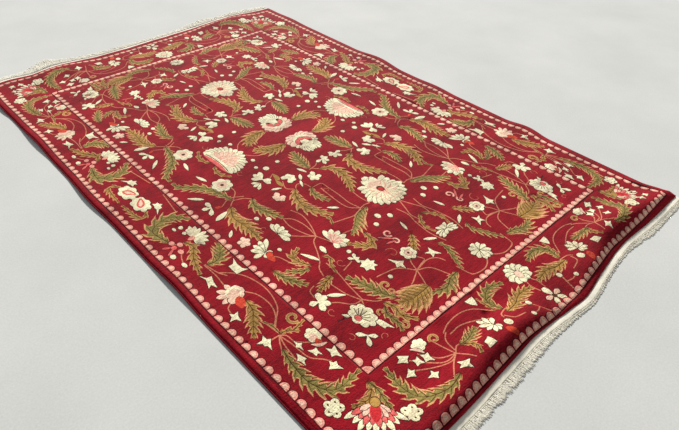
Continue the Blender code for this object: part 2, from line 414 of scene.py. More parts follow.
def curl(centre, radius, turns, start, half=0.4, yarn="gold", rim="tan"):
    """A scroll that winds in from its radius to its centre."""
    steps = max(8, round(14 * turns))
    line = []
    for k in range(steps + 1):
        t = k / steps
        angle = math.radians(start) + t * turns * math.tau
        r = radius * (1 - 0.72 * t)
        line.append((centre[0] + r * math.cos(angle), centre[1] + r * math.sin(angle)))
    line = np.array(line)
    if rim:
        stroke(rim, ribbon(line, np.linspace(half, half * 0.7, len(line))))
    stroke(yarn, ribbon(line, np.linspace(half * 0.6, half * 0.35, len(line))))


print("strokes so far", len(woven))

# %% [markdown]
# The flowers come from a few shapes too. A fan is a bunch of petals from one heart. A pointed shape
# goes from tip to tip with a waist between them, which makes the small birds, stars and butterflies.
# A blossom is a round outline with lobes.

# %% Flowers, birds and dots
def dot(place, along_radius, across_radius, yarn="cream", line=0.22, sides=10):
    turn = np.arange(sides) / sides * math.tau
    ring = np.stack([place[0] + along_radius * np.cos(turn), place[1] + across_radius * np.sin(turn)], 1)
    if line:
        stroke("maroon", grown(ring, line))
    stroke(yarn, ring)


def fan(heart, tips, width, yarn="cream", parted=False, belly=0.66):
    shapes = [petal(heart, tip, width, belly) for tip in tips]
    if parted:
        for shape in shapes:
            outlined(yarn, [shape], 0.2)
    else:
        outlined(yarn, shapes)


def pointed(heart, tips, waist=0.34, yarn="cream", line=LINE):
    heart = np.asarray(heart, float)
    outline = []
    for k, tip in enumerate(tips):
        tip = np.asarray(tip, float)
        after = np.asarray(tips[(k + 1) % len(tips)], float)
        half_way = (tip - heart) / 2 + (after - heart) / 2
        reach = (np.linalg.norm(tip - heart) + np.linalg.norm(after - heart)) / 2
        across_it = half_way / max(np.linalg.norm(half_way), 1e-6)
        hollow = heart + across_it * reach * waist
        towards_hollow = (tip + hollow) / 2 + (hollow - tip) * 0.1
        side = smooth([tip, towards_hollow, hollow, (after + hollow) / 2, after], 0.8)
        outline += list(side[:-1])
    outlined(yarn, [np.array(outline)], line)


def blossom(centre, along_radius, across_radius, lobes, yarn="cream", depth=0.13, turn=0.0, line=LINE):
    angles = np.arange(lobes * 6) / (lobes * 6) * math.tau
    swell = 1 - depth + depth * np.abs(np.cos((angles - math.radians(turn)) * lobes / 2)) * 1.6
    ring = np.stack([np.cos(angles) * along_radius * swell, np.sin(angles) * across_radius * swell], 1)
    ring += np.asarray(centre, float)
    if line:
        stroke("maroon", grown(ring, line))
    stroke(yarn, ring)


def eyed_flower(centre, radius):
    """Five round lobes, each with a dark eye, as at the corners of the border."""
    places = [(centre[0], centre[1])]
    out = radius * 0.62
    for k in range(5):
        angle = math.radians(90 + 72 * k)
        places.append((centre[0] + out * math.cos(angle), centre[1] + out * math.sin(angle)))
    for place in places[1:]:
        dot(place, radius * 0.42 + 0.24, radius * 0.42 + 0.24, "maroon", 0)
    for place in places:
        dot(place, radius * 0.42, radius * 0.42, "cream", 0)
    for place in places[1:]:
        dot(place, 0.36, 0.30, "walnut", 0, 6)


print("shapes ready")

# %% [markdown]
# ## The field: vines and leaves
#
# Now the drawing itself, a quarter of the field. Every row was placed at whole or half
# centimetres, as a weaver's chart would be. The thin vines go down first, because the leaves and
# flowers grow over them.

# %% Vines of the field
FIELD_VINES = (
    ((61, 10), (60.5, 12.5), (61, 15)),
    ((61, 15), (56, 16), (49, 15.5), (41, 15.5)),
    ((61, 15), (57, 18.5), (48, 18.5), (42, 18)),
    ((61, 15), (62.5, 20), (61.5, 25), (60.5, 29.5)),
    ((61, 15), (64.5, 19.5), (67.5, 25), (67, 30.5)),
    ((70, 5), (75, 4.2), (80, 5.5), (87, 6.3), (93, 5)),
    ((67, 0), (72, 2), (76, 3.6), (80, 3)),
    ((104, 1), (107.5, 2), (109.5, 6), (109, 11), (107.5, 12.3), (103, 13)),
    ((95.7, 24.5), (94.7, 21), (94, 18.5), (91.5, 19.5)),
    ((95.7, 24.5), (94.8, 18), (96.5, 14.5), (99, 13.5)),
    ((95.7, 24.5), (98, 20), (104.5, 17.5)),
    ((95.7, 24.5), (99, 26), (103, 28)),
    ((95.7, 24.5), (92.5, 27), (90.5, 30), (89.3, 37)),
    ((95.7, 24.5), (98, 29), (98.7, 31)),
    ((95.7, 24.5), (92, 23), (89, 20.5)),
    ((62, 38.5), (56, 36), (50, 34.8), (45, 36)),
    ((62, 38.5), (59, 40.3), (52, 42), (46, 41)),
    ((62, 38.5), (63.5, 41), (68, 43.5), (72, 46), (74.5, 48.5), (78, 49.8)),
    ((62, 38.5), (66, 37), (69, 36)),
    ((62, 38.5), (58, 43), (55, 46)),
    ((72, 49.8), (71, 50.4), (70, 51.5)),
    ((70, 52.5), (66, 54), (62, 55), (60, 56.5)),
    ((74, 45), (80, 45.3), (86, 46.5), (93, 47.5)),
    ((93, 47.5), (96, 45), (97, 43)),
    ((93, 47.8), (88, 49.7), (82, 50.5)),
    ((93, 47.8), (95, 49), (96.5, 50.8)),
    ((93, 47.5), (92.5, 51), (89, 54), (87.5, 56)),
    ((79, 55), (80, 57.5), (83, 58.2)),
    ((26.5, 44), (24, 49), (26.5, 54)),
    ((27, 6.8), (28.5, 8.5), (29, 10), (29.5, 13)),
    ((29, 12), (31, 10), (32, 8)),
    ((39.5, 20.5), (36, 21), (34, 23.5), (36, 26)),
    ((39.5, 20.5), (39.5, 16), (41, 15.5)),
    ((22, 26.5), (23.5, 29), (23, 31)),
    ((28.5, 26.5), (33, 28.5), (36, 26)),
    ((29, 52), (27, 50), (26, 48.7)),
    ((30, 42.5), (27.5, 45), (26, 48.7)),
    ((18.5, 44.5), (22, 45), (26, 48.7)),
    ((7, 8), (11, 6), (14, 5)),
    ((7, 8), (6, 4), (7.5, 0)),
    ((80.3, 43), (79.5, 40), (79, 38)),
    ((47, 41), (50, 38.5), (56, 37.6), (62, 38.5)),
    ((51.5, 10), (56, 10.5), (61, 10)),
    ((2, 27), (6, 24), (7.5, 20), (7, 8)),
)
for route in FIELD_VINES:
    vine(route)
for place, radius, start in (
    ((77, 41), 2.0, 0), ((107, 52.5), 1.4, 90), ((101, 60.5), 1.5, 200), ((90.5, 58), 1.7, 20),
    ((85, 24.5), 2.6, 160), ((44.5, 17), 1.6, 90), ((47, 50), 1.5, 40), ((13, 36), 1.8, 10),
):
    curl(place, radius, 0.8, start, 0.16, "vine", None)
print(len(FIELD_VINES), "vines")

# %% Leaves of the field
FIELD_LEAVES = (
    # spine from stalk to tip, reach to its left, reach to its right, teeth
    (((7, 8), (7.6, 12), (6.6, 17), (1.5, 21.5)), 4.6, 4.2, 7),
    (((29, 12.6), (25, 12), (20.5, 11.4), (14, 9.6)), 3.4, 3.6, 7),
    (((31.5, 9.5), (35, 5), (43, 5.2), (52, 10.4)), 2.8, 3.6, 8),
    (((39, 20.3), (42, 22.2), (46, 22.4), (50.5, 20.6)), 2.0, 2.4, 5),
    (((35.5, 25.8), (40, 29), (48, 30.4), (57.5, 25.2)), 3.6, 3.2, 8),
    (((61.5, 12.5), (63, 19), (67, 24.4), (69.5, 29)), 0.8, 4.6, 9),
    (((71.2, 24), (76, 25), (77.5, 28.5), (71, 33.4)), 2.6, 2.2, 6),
    (((91.5, 9), (94.5, 8), (99, 10), (105, 13)), 0.8, 2.8, 6),
    (((82.6, 11.6), (86, 14.6), (90, 19)), 2.0, 2.4, 5),
    (((104.5, 14.5), (105, 19), (106.6, 23.5), (104.6, 29.6)), 1.6, 3.8, 7),
    (((102.5, 26.8), (102.8, 31), (102.8, 35), (101.4, 40.2)), 5.4, 5.6, 8),
    (((99.5, 38.5), (95, 41), (90, 42.4), (82.6, 44.6)), 3.4, 3.2, 7),
    (((97.5, 43.5), (101.5, 42.2), (105, 43), (109.4, 40)), 2.2, 2.0, 5),
    (((99, 44), (102, 46), (106, 46), (109.5, 47.5)), 1.8, 1.6, 5),
    (((79.3, 47.3), (80.5, 51), (82, 55.6)), 2.2, 2.0, 5),
    (((65.2, 60.6), (70, 60), (74, 58.4), (78, 56)), 2.2, 2.8, 6),
    (((72, 49.4), (68, 51.4), (64.5, 51.4), (62.4, 46.6)), 1.6, 2.4, 6),
    (((72.4, 50.3), (71.6, 54), (68, 58)), 1.9, 1.7, 4),
    (((70.3, 43.8), (73, 42.4), (76, 44.6), (80, 45.7)), 0.9, 1.4, 4),
    (((29.6, 42.3), (34, 44.4), (40, 43.4), (46.6, 40.6)), 3.0, 2.8, 7),
    (((28.6, 51.6), (35, 54.6), (42, 54), (51, 54.4)), 3.6, 4.0, 8),
    (((26, 48.7), (17, 50.6), (11, 53.6), (5, 59.6), (0.4, 60)), 2.8, 3.2, 9),
    (((77.2, 0.2), (80.6, 3.6), (84, 4.8), (88.4, 3.8)), 1.0, 1.4, 4),
    (((61.5, 30), (58, 28), (53.5, 29.5)), 0.7, 1.0, 3),
)
for k, (spine, left, right, teeth) in enumerate(FIELD_LEAVES):
    leaf(spine, left, right, teeth, body=("gold", "moss")[k % 2])
curl((93.5, 37.4), 1.7, 0.9, 90, 0.5)
curl((96.6, 37.8), 1.3, 0.9, 60, 0.4)
curl((103, 41.2), 1.5, 0.9, 250, 0.45)
curl((108, 45.2), 1.5, 0.9, 200, 0.45)
curl((100, 46.8), 1.3, 0.9, 60, 0.4)
print(len(FIELD_LEAVES), "leaves")

# %% [markdown]
# ## The field: flowers
#
# The flowers are cream with a blush of pink in some petals, and each has the thin maroon line that
# sets it off from the crimson. The large palmettes sit on the middle lines, so only half of each is
# drawn, and the mirror completes it.

# %% The large palmettes and the middle rosette
PALMETTE_TIPS = (
    (47.6, 0.6), (49.2, 2.6), (51.6, 7.2), (54.4, 7.8), (57.4, 8.6), (60, 9.9), (62.4, 8.8),
    (64.7, 7.6), (66.4, 5.2), (67.4, 2.4), (67.2, 0.4),
)
fan((58, 0), PALMETTE_TIPS, 3.4, "cream", True)
stroke("cream", smooth([(52, -1), (52.5, 3.5), (56, 5.6), (61, 5.8), (65, 3), (65.4, -1)], 0.7, True))
stroke("blush", smooth([(52.6, -1), (53, 3), (56, 4.4), (60, 4.6), (63.4, 2.4), (64, -1)], 0.7, True))
for tip in ((66.4, 1.2), (65.4, 3.2), (63.6, 4.8), (60.8, 5.8), (57.4, 5.6), (54, 4.6)):
    outlined("cream", [petal((59, 0.6), tip, 1.5, 0.7)], 0.16, "rose")
dot((57.4, 0), 1.9, 1.6, "walnut", 0)
dot((57.6, 0), 1.2, 1.1, "ember", 0)

ROSETTE_TIPS = ((3, 2.2), (3.4, 4.6), (5.6, 6.4), (8.2, 7.4), (11, 7.2))
ROSETTE_SPIKES = ((13.4, 6.2), (15.2, 4.8), (17.2, 4.6), (18.8, 3.6), (19.6, 2.2), (19, 0.6))
fan((9, 0.6), ROSETTE_TIPS, 4.2, "blush", True, 0.6)
fan((11, 0.6), ROSETTE_SPIKES, 2.2, "cream", True, 0.72)
stroke("cream", smooth([(6, -1), (6.4, 3), (10, 4.2), (14, 3.2), (15, -1)], 0.7, True))
outlined("rose", [petal((7.4, 0.4), (12.8, 3.2), 2.2, 0.6, 0.15)], 0.2)
dot((12, 2.6), 0.8, 0.8, "walnut", 0)
dot((8.4, 0.2), 1.3, 1.0, "rose", 0.2)

SIDE_PALMETTE_TIPS = (
    (0, 25.6), (3, 26.6), (5.6, 28), (8.2, 29), (9.4, 31.2), (10.6, 33), (11.2, 35.2), (11.4, 37),
    (10.8, 38.6),
)
fan((0.5, 36.4), SIDE_PALMETTE_TIPS, 3.6, "cream", True)
stroke("cream", smooth([(-1, 29), (4, 30.4), (7, 34), (7.4, 38), (-1, 38)], 0.8, True))
for tip in ((1.6, 29), (4, 30.4), (6.2, 32.4), (7.4, 35)):
    outlined("blush", [petal((0.8, 36.6), tip, 1.9, 0.66)], 0.16, "rose")
vine(((-1, 38.2), (4, 38.3), (8.6, 39)), 0.2, "walnut")
stroke("rose", smooth([(-1, 38.6), (4, 38.8), (8.8, 39.8), (5, 40.4), (-1, 40.2)], 0.8, True))
leaf(((1, 41), (4, 42.4), (8, 42.8), (13, 40)), 1.2, 1.6, 4)
print("palmettes woven, strokes", len(woven))

# %% [markdown]
# The smaller flowers repeat a few kinds: fans, tri-petals, tulips, half-rounds, pine cones, birds and
# plain dots. Each row of a table is one flower.

# %% Fans and pointed flowers of the field
FIELD_FANS = (
    # heart, tips of the petals, petal width, yarn, petals parted
    ((89, -0.5),
     ((88.6, 4.9), (90.2, 5), (91.4, 4.3), (91, 2), (86.4, 2.6), (86.6, 0.6)), 1.5, "cream", True),
    ((103.5, 0),
     ((99.6, 0.4), (100.4, 2.6), (102.6, 4), (105.4, 3.6), (107.4, 1.8), (107.4, 0.2)), 2.0, "cream", True),
    ((27, 3.6), ((27, 0.5), (24.8, 1.6), (29.6, 1.8), (30.6, 4.8), (27, 7)), 1.8, "cream", False),
    ((22.4, 32), ((17.3, 29.8), (17, 32.6), (19, 35), (26.6, 31), (25, 29.4)), 2.2, "cream", False),
    ((24, 34), ((21.4, 36.9), (24, 37.6), (26.8, 37.2)), 1.5, "cream", True),
    ((28.6, 23.6), ((26, 21.8), (28.6, 20.4), (31.4, 21.8), (31.8, 24.4), (26, 25.4)), 2.6, "cream", False),
    ((34.5, 14.4), ((31, 13.4), (32.2, 16.6), (35.4, 17.4), (37.2, 15), (35.8, 12)), 2.2, "cream", False),
    ((36, 34.2), ((32.6, 33.4), (34, 36), (37, 36.4), (39, 34), (37.4, 32)), 2.4, "blush", False),
    ((52.4, 47.8),
     ((46.4, 46.4), (47.6, 44.8), (50.2, 44), (53.4, 44.2), (56, 45), (57.8, 47)), 2.2, "cream", True),
    ((57, 57.2),
     ((51.6, 52.6), (50.8, 55.2), (51.4, 58), (52.8, 60.2), (56.4, 61.6), (58.2, 55), (59.4, 58.4)),
     1.9, "cream", True),
    ((48, 59.4), ((45.4, 58.4), (46.6, 61.4), (49.8, 61.6), (50.6, 58.8), (48, 57)), 2.0, "blush", False),
    ((24.6, 57.4), ((20.3, 57.2), (23, 60.6), (28.2, 59.8)), 1.9, "cream", False),
    ((79, 36.4), ((76.6, 34.8), (79.3, 34.6), (77, 38), (81.2, 36)), 1.4, "cream", False),
    ((103.4, 56.4), ((105.6, 54.3), (100.8, 58.6), (106.6, 58.6)), 1.6, "cream", False),
    ((85, 58.4), ((82, 56), (84.6, 54.8), (88, 56), (88.8, 59.4), (84, 61.4)), 2.2, "cream", False),
    ((82, 17.4), ((76.4, 22.4), (80.6, 22.6)), 0.9, "rose", False),
    ((68, 36.2),
     ((61.4, 34.6), (62.6, 32), (65, 30.4), (68, 29.8), (71, 31), (72.4, 33.6), (71.6, 36.4)),
     2.3, "cream", True),
)
for heart, tips, width, yarn, parted in FIELD_FANS:
    fan(heart, tips, width, yarn, parted)
dot((58.6, 56.6), 1.2, 1.2, "brick", 0.2)
stroke("brick", petal((58.2, 57), (62.4, 57.4), 2.4, 0.4))
stroke("brick", petal((25.4, 56.4), (26.6, 53.8), 1.3, 0.4))
stroke("blush", smooth([(64, 35), (65.6, 32.6), (68.6, 32.4), (70.4, 34.6), (68, 36.6)], 0.7, True))
for k in range(5):
    vine(((68, 36.4), (63.4 + 2.1 * k, 32.4 + 0.5 * abs(k - 2))), 0.1, "rose")

FIELD_POINTED = (
    # heart, tips, waist, yarn
    ((93.6, 13.8), ((91, 12.8), (92.2, 16.2), (95.4, 15.4), (96, 11.6)), 0.36, "cream"),
    ((90, 26.6), ((86, 28), (90, 24.2), (93, 26.6), (90.6, 28.6)), 0.42, "cream"),
    ((83.5, 35),
     ((80.4, 35.4), (81.4, 32.8), (83.6, 31.8), (85.8, 32.6), (86.8, 35), (85.2, 37.4), (82.4, 37.6)),
     0.66, "cream"),
    ((96.6, 54.2), ((94, 60), (93, 56.6), (96, 52)), 0.5, "cream"),
    ((103.6, 50), ((100, 51.6), (106.8, 48.2), (105, 50.6)), 0.5, "cream"),
)
for heart, tips, waist, yarn in FIELD_POINTED:
    pointed(heart, tips, waist, yarn)
print(len(FIELD_FANS) + len(FIELD_POINTED), "flowers")

# %% Round flowers, loose petals and dots of the field
blossom((14.8, 46.2), 4.2, 3.9, 7)
blossom((14.8, 46.2), 2.2, 2.0, 6, "blush", 0.1, 0, 0)
dot((14.8, 46.2), 0.8, 0.8, "walnut", 0)
blossom((88.5, 20.2), 2.9, 2.8, 6)
blossom((88.5, 20.2), 1.4, 1.3, 6, "blush", 0.1, 0, 0.12)
dot((88.5, 20.2), 0.5, 0.5, "walnut", 0)
curl((77.3, 18), 1.9, 1.0, 0, 0.5, "blush", "rose")
curl((82, 19), 1.6, 0.8, 180, 0.45, "blush", "rose")

blossom((97.4, 52), 4.7, 3.6, 8)
for k in range(7):
    turn = math.radians(-70 + k * 23)
    vine(((97.2, 53.4), (97.2 + 3.6 * math.sin(turn), 53.4 - 3.6 * math.cos(turn))), 0.13, "walnut")
dot((97.2, 53.8), 1.2, 1.0, "rose", 0.15)

LOOSE_PETALS = (
    # base, tip, width
    ((33, 20.6), (29.4, 18.2), 1.5), ((36.6, 22.8), (32.8, 20.9), 1.1), ((30, 15), (25.3, 16.4), 1.4),
    ((31.8, 29.6), (30.1, 33.5), 1.3), ((3, 50.8), (8.7, 49.4), 1.5), ((13.6, 61), (18.2, 56.6), 1.5),
    ((30.2, 54.2), (31.8, 60.2), 2.3), ((40, 59), (42.7, 61.7), 1.3), ((65.2, 48.6), (71.7, 45.7), 1.5),
    ((90.1, 6.6), (87.4, 10.7), 1.4), ((88.3, 50), (84.6, 54.7), 1.5), ((70.4, 41.6), (66.6, 40.9), 1.9),
    ((52.5, 24.5), (55.6, 21), 1.3), ((76, 9.8), (80.4, 11), 1.2),
)
for base, tip, width in LOOSE_PETALS:
    outlined("cream", [petal(base, tip, width, 0.55)], 0.22)
DOTS = (
    # place, radius along, radius across
    ((16, 19.3), 1.0, 1.0), ((17, 26), 1.4, 1.3), ((8.5, 26.5), 1.1, 0.9), ((13.8, 28.8), 0.9, 0.9),
    ((71, 9.7), 1.2, 1.0), ((68.3, 13.5), 1.4, 1.1), ((71.3, 17.5), 1.1, 1.0), ((75, 35.3), 0.9, 0.8),
    ((43.6, 45.2), 1.2, 0.9), ((40.6, 48.5), 1.1, 0.9), ((92, 33.4), 0.9, 0.8), ((59, 52.6), 0.9, 0.7),
)
for place, along_radius, across_radius in DOTS:
    dot(place, along_radius, across_radius)
for place, width, height in (((24.5, 26.4), 2.6, 1.0), ((28.4, 28), 2.8, 0.9)):
    stroke("gold", petal((place[0] - width, place[1]), (place[0] + width, place[1] + 0.6), height * 2))
print(len(DOTS), "dots, strokes", len(woven))

# %% [markdown]
# ## The border
#
# The border between the two guard stripes has its own drawing: curling leaves, a pink hand-shaped
# flower, butterflies, clusters of small birds and stars, and a spiky palmette in each corner. The
# long sides and the ends are drawn apart, because they aren't the same length.

# %% Vines and leaves of the border
BORDER_VINES = (
    ((86.5, 75.5), (80, 76.5), (75, 76.8)),
    ((84, 75), (82, 73), (78, 69.2), (71, 67.2), (64, 68), (58.5, 70.6), (54.5, 75)),
    ((83.5, 75), (80.5, 72), (76, 70.4), (70.5, 70.9), (66.5, 73.4)),
    ((48.5, 76.2), (54, 75.2), (57.5, 73.4)),
    ((48.5, 76.6), (55, 76.3), (61, 76.8)),
    ((68, 79.5), (69, 81.4), (71.5, 82)),
    ((87, 76), (88.4, 74.4), (91.4, 74), (93.5, 72), (94.5, 70.5)),
    ((87, 76), (92, 75.2), (98, 74.6), (101, 72), (103, 70.5)),
    ((87, 76), (91, 77.2), (95.5, 77.8), (98, 78.4)),
    ((87, 76), (86.7, 78.5), (87, 80)),
    ((87, 76), (89, 77.6), (92, 79.2)),
    ((107, 80.2), (109.5, 79.9), (111.5, 80.4)),
    ((37.5, 77.5), (40, 80), (43.5, 81.6)),
    ((31, 79.8), (33, 79.2), (34.8, 75.6)),
    ((44.5, 64.5), (44, 67)),
    ((5, 66.6), (12, 67.6), (18.5, 68.6)),
    ((124.5, 17), (125.4, 20.5), (127, 21.5)),
    ((122.5, 20.5), (117.8, 24.4), (115.9, 29), (116, 35), (117.4, 39)),
    ((124, 24), (121, 28), (119, 33), (119, 37.6)),
    ((126.4, 20.6), (129.4, 19.4), (130.2, 15)),
    ((127.7, 10), (131.5, 8.4), (135, 7)),
    ((131, 8.6), (132, 11), (131.8, 13)),
    ((124.6, 42.5), (123, 40), (123.6, 37.5)),
    ((124.6, 42.5), (128, 41), (130, 40.4)),
    ((124.6, 42.5), (120, 43.2), (116, 44)),
    ((124.6, 42.5), (122, 47), (117, 50.5)),
    ((124.6, 42.5), (124.4, 46.5), (121, 50.5), (117, 54)),
    ((124.6, 42.5), (126.4, 46), (129, 49.5)),
    ((124.6, 42.5), (125.5, 45.5), (123.4, 50.2), (119.6, 56.4)),
    ((127.4, 1.4), (124.5, 1.9), (122, 1.2)),
    ((117.6, 38), (119.4, 40.4), (123.6, 41.6)),
)
for route in BORDER_VINES:
    vine(route)
BORDER_LEAVES = (
    (((8.6, 76.8), (12, 78), (11.6, 80.8), (0.6, 81.8)), 0.9, 2.0, 7),
    (((31.4, 79.6), (22, 80.8), (19, 74), (20.4, 70.4), (25.2, 66.6)), 4.0, 4.0, 9),
    (((34, 75.4), (38.6, 74.2), (43.4, 77.4), (52, 80.4)), 2.3, 2.4, 7),
    (((49, 75.8), (49.4, 71.6), (46.8, 68.6), (42.2, 66.2)), 3.6, 3.6, 7),
    (((69.6, 75.2), (74.4, 76), (77.6, 78.4), (83.4, 82.6)), 2.8, 3.2, 7),
    (((91, 78.4), (97, 79.8), (104.6, 80), (110.2, 76), (110, 66)), 3.0, 3.0, 12),
    (((126, 18.4), (125.4, 13), (123.6, 8), (124.6, 1.6)), 3.2, 3.0, 8),
    (((124.4, 17.6), (118.6, 18.4), (115.6, 13.6), (117.2, 7.4)), 3.0, 2.6, 8),
    (((123.8, 20), (119.6, 19.9), (115, 20.2)), 0.7, 0.8, 4),
    (((123.4, 39), (124, 35.6), (122.6, 30)), 2.8, 2.6, 6),
    (((124, 38), (127.4, 36.6), (130.6, 38.4)), 1.4, 1.2, 4),
    (((130, 47.6), (130.6, 54), (127.6, 60.2), (121.4, 62), (113.6, 60.8)), 3.0, 3.0, 11),
    (((86.6, 76), (87.2, 73), (89.8, 70)), 1.2, 1.4, 3),
    (((86.6, 75.4), (83, 75.4), (79.6, 76.6)), 0.7, 0.7, 3),
    (((113.6, 67.6), (116.6, 69), (118, 72.4), (116.6, 77)), 1.9, 2.4, 5),
    (((113.6, 67.6), (117.6, 67.4), (121, 68.4), (126.4, 69.6)), 2.0, 1.6, 5),
)
for k, (spine, left, right, teeth) in enumerate(BORDER_LEAVES):
    leaf(spine, left, right, teeth, body=("gold", "moss")[k % 2])
curl((84.4, 68.4), 2.3, 1.05, -10, 0.62)
curl((116.8, 42.6), 1.8, 1.0, 90, 0.5)
leaf(((88.2, 72), (87.8, 69), (87, 65.9)), 1.0, 1.0, 3)
print(len(BORDER_LEAVES), "border leaves")

# %% Flowers of the border
blossom((5, 76.2), 5.0, 3.3, 7, "cream", 0.16, 20)
outlined("rose", [petal((2, 74.6), (7, 77.3), 2.6, 0.6)], 0.24, "brick")
outlined("blush", [petal((2.6, 74.9), (6.4, 77), 1.5, 0.6)], 0.1, "rose")
BORDER_FANS = (
    ((34.4, 71.6),
     ((28, 69.2), (29.4, 67.6), (31.6, 66.8), (34.6, 66.1), (37.2, 66.8), (39.2, 68.2), (40, 70.2),
      (38.8, 71.6), (28.8, 70.9)), 1.8, "cream", False),
    ((66, 76), ((60.2, 76.6), (60.9, 80.2), (63.2, 81.8), (66.4, 81.7)), 2.0, "blush", True),
    ((66, 76.2), ((62.6, 74), (64.8, 72.8), (67.6, 74), (68.2, 79.6)), 3.4, "blush", False),
    ((34.7, 79.2), ((32.4, 83.2), (37, 83.4)), 1.1, "rose", False),
    ((118.4, 0),
     ((113.2, 0.4), (114, 2.6), (116, 4.3), (118.4, 5.2), (121, 4), (122, 1.4)), 2.7, "cream", True),
    ((131.4, 0), ((127, 0.4), (134.4, 2.6)), 2.0, "cream", False),
    ((131.2, 0.4), ((130.7, 3.8),), 2.0, "blush", False),
    ((126.4, 26.4),
     ((121.4, 28), (121.8, 25.6), (124, 23.8), (129, 25.6), (129.6, 27), (129, 28.6), (126.4, 29.6),
      (123.4, 29.4)), 1.6, "cream", True),
)
for heart, tips, width, yarn, parted in BORDER_FANS:
    fan(heart, tips, width, yarn, parted)
dot((131.5, 0), 1.0, 0.9, "walnut", 0)
dot((118.6, 0), 1.8, 1.4, "blush", 0.15)
dot((129.2, 22.6), 1.5, 1.3, "cream")
stroke("cream", smooth([(62.6, 75.2), (65, 73.6), (67.4, 75.2), (67.6, 78), (65, 79), (62.8, 78)], 0.7, True))
stroke("blush", smooth([(63.4, 75.6), (65.6, 74.4), (67.6, 76), (67.4, 78.2), (64.6, 78.6)], 0.7, True))
stroke("brick", petal((67.2, 76), (71.8, 78), 3.2, 0.45))
stroke("brick", petal((130, 25.6), (134.4, 23.6), 2.4, 0.4))
outlined("salmon", [petal((34.4, 71), (34.2, 73.6), 2.0, 0.4)], 0.15, "brick")
for place in ((34.6, 77.1), (32.2, 79), (37.9, 78.9)):
    dot(place, 1.3, 1.0, "salmon")
dot((34.7, 79.6), 1.0, 1.0, "rose", 0)

BORDER_POINTED = (
    # heart, tips, waist
    ((57, 68.8), ((52, 66.8), (57, 67.4), (59.5, 66), (58.9, 70.5), (54.2, 70.5)), 0.62),
    ((55.8, 79.8), ((51.8, 80.8), (54.4, 77.6), (59.8, 79), (58.4, 81.4), (54.6, 80)), 0.5),
    ((73, 81.8), ((71.9, 79.8), (75.6, 81.2), (73.6, 84.1), (71, 82.4)), 0.42),
    ((86.6, 80.6), ((83.8, 79.7), (86.2, 78.6), (89.6, 81), (87.2, 81.8), (85, 83.2)), 0.5),
    ((97.8, 71.9), ((96.9, 70.6), (99.9, 70.8), (99.2, 72.6), (96.1, 73.3)), 0.48),
    ((101.4, 68), ((99.6, 65.9), (103.9, 67.1), (102, 69.4), (98.7, 68.7)), 0.46),
    ((104.4, 71), ((103.9, 69.4), (106.9, 69.7), (104.5, 73.1), (102.5, 71)), 0.5),
    ((93.2, 74.2), ((93.2, 72.6), (95.5, 74.1), (93.2, 75.2), (90.9, 74.1)), 0.44),
    ((97, 76.8), ((98, 75.3), (99.6, 77.1), (96.8, 77.9), (94.8, 76.4)), 0.54),
    ((115.4, 22.2), ((114.2, 20.4), (117.8, 22.1), (114, 24)), 0.6),
    ((129.6, 33.4), ((128, 32), (131.2, 32), (131, 35.4), (128.6, 34.6)), 0.7),
    ((129, 44.4), ((129, 42.2), (131.6, 44), (128.8, 46.6), (126.8, 45.2)), 0.46),
    ((119.6, 49.4), ((121.8, 48.2), (120.4, 50.8), (117.6, 50.2), (118.6, 47.8)), 0.5),
    ((118.8, 52.4), ((120.4, 51), (119.8, 53.6), (117.4, 53.4), (117.4, 51.2)), 0.5),
    ((124.9, 52.4), ((126.4, 52.6), (124.2, 54.5), (123.1, 52), (124.9, 50.6)), 0.5),
    ((115.6, 54.8), ((117.4, 54.8), (115.4, 57.2), (113.6, 55.4), (115.8, 52.8)), 0.56),
    ((120.2, 56.8), ((121.7, 56.4), (120.2, 58.8), (118.4, 56.2), (120, 55)), 0.5),
    ((130, 74.2), ((131.7, 74.6), (129.4, 76), (128, 74), (129.6, 72.6)), 0.5),
    ((130.2, 78.6), ((131, 77), (130.6, 80), (128.2, 79.6), (128.8, 77)), 0.5),
    ((125, 79.2), ((126.6, 79.2), (125.2, 80.6), (123.4, 79.2), (125, 77.8)), 0.5),
)
for heart, tips, waist in BORDER_POINTED:
    pointed(heart, tips, waist)
for place, along_radius, across_radius in (
    ((26.8, 72), 1.0, 0.9), ((30.2, 72.6), 0.9, 0.8), ((26.2, 74.4), 1.1, 0.6), ((38.4, 82.3), 1.3, 1.0),
    ((44.4, 81.7), 1.4, 0.8), ((127.8, 9.6), 1.1, 0.9), ((131.9, 13.2), 0.9, 0.8),
):
    dot(place, along_radius, across_radius)
pointed((10, 72), ((7.6, 72.8), (8, 70.8), (10.2, 69.8), (12.2, 71.2), (14.8, 74.6), (10.6, 73.4)), 0.6)
blossom((93.2, 68.2), 2.7, 2.4, 6)
blossom((93.8, 68.8), 1.5, 1.3, 6, "blush", 0.1, 0, 0)
stroke("brick", petal((94.6, 68.4), (97.2, 69), 2.2, 0.5))
outlined("blush", [petal((97.6, 66.8), (95.2, 71), 1.1, 0.5, -0.12)], 0.18)
blossom((115.2, 47.8), 2.0, 2.4, 6)
outlined("blush", [petal((118.2, 48.6), (114.6, 51), 1.1, 0.5, 0.12)], 0.18)
eyed_flower((113.7, 80.4), 2.9)
eyed_flower((128.4, 66.4), 2.9)
print("border flowers woven, strokes", len(woven))

# %% [markdown]
# The corner palmette opens towards the rug's corner. Its red heart sits in two gold bracts, and its
# narrow pink petals stand in two rings, each petal with its own dark line.

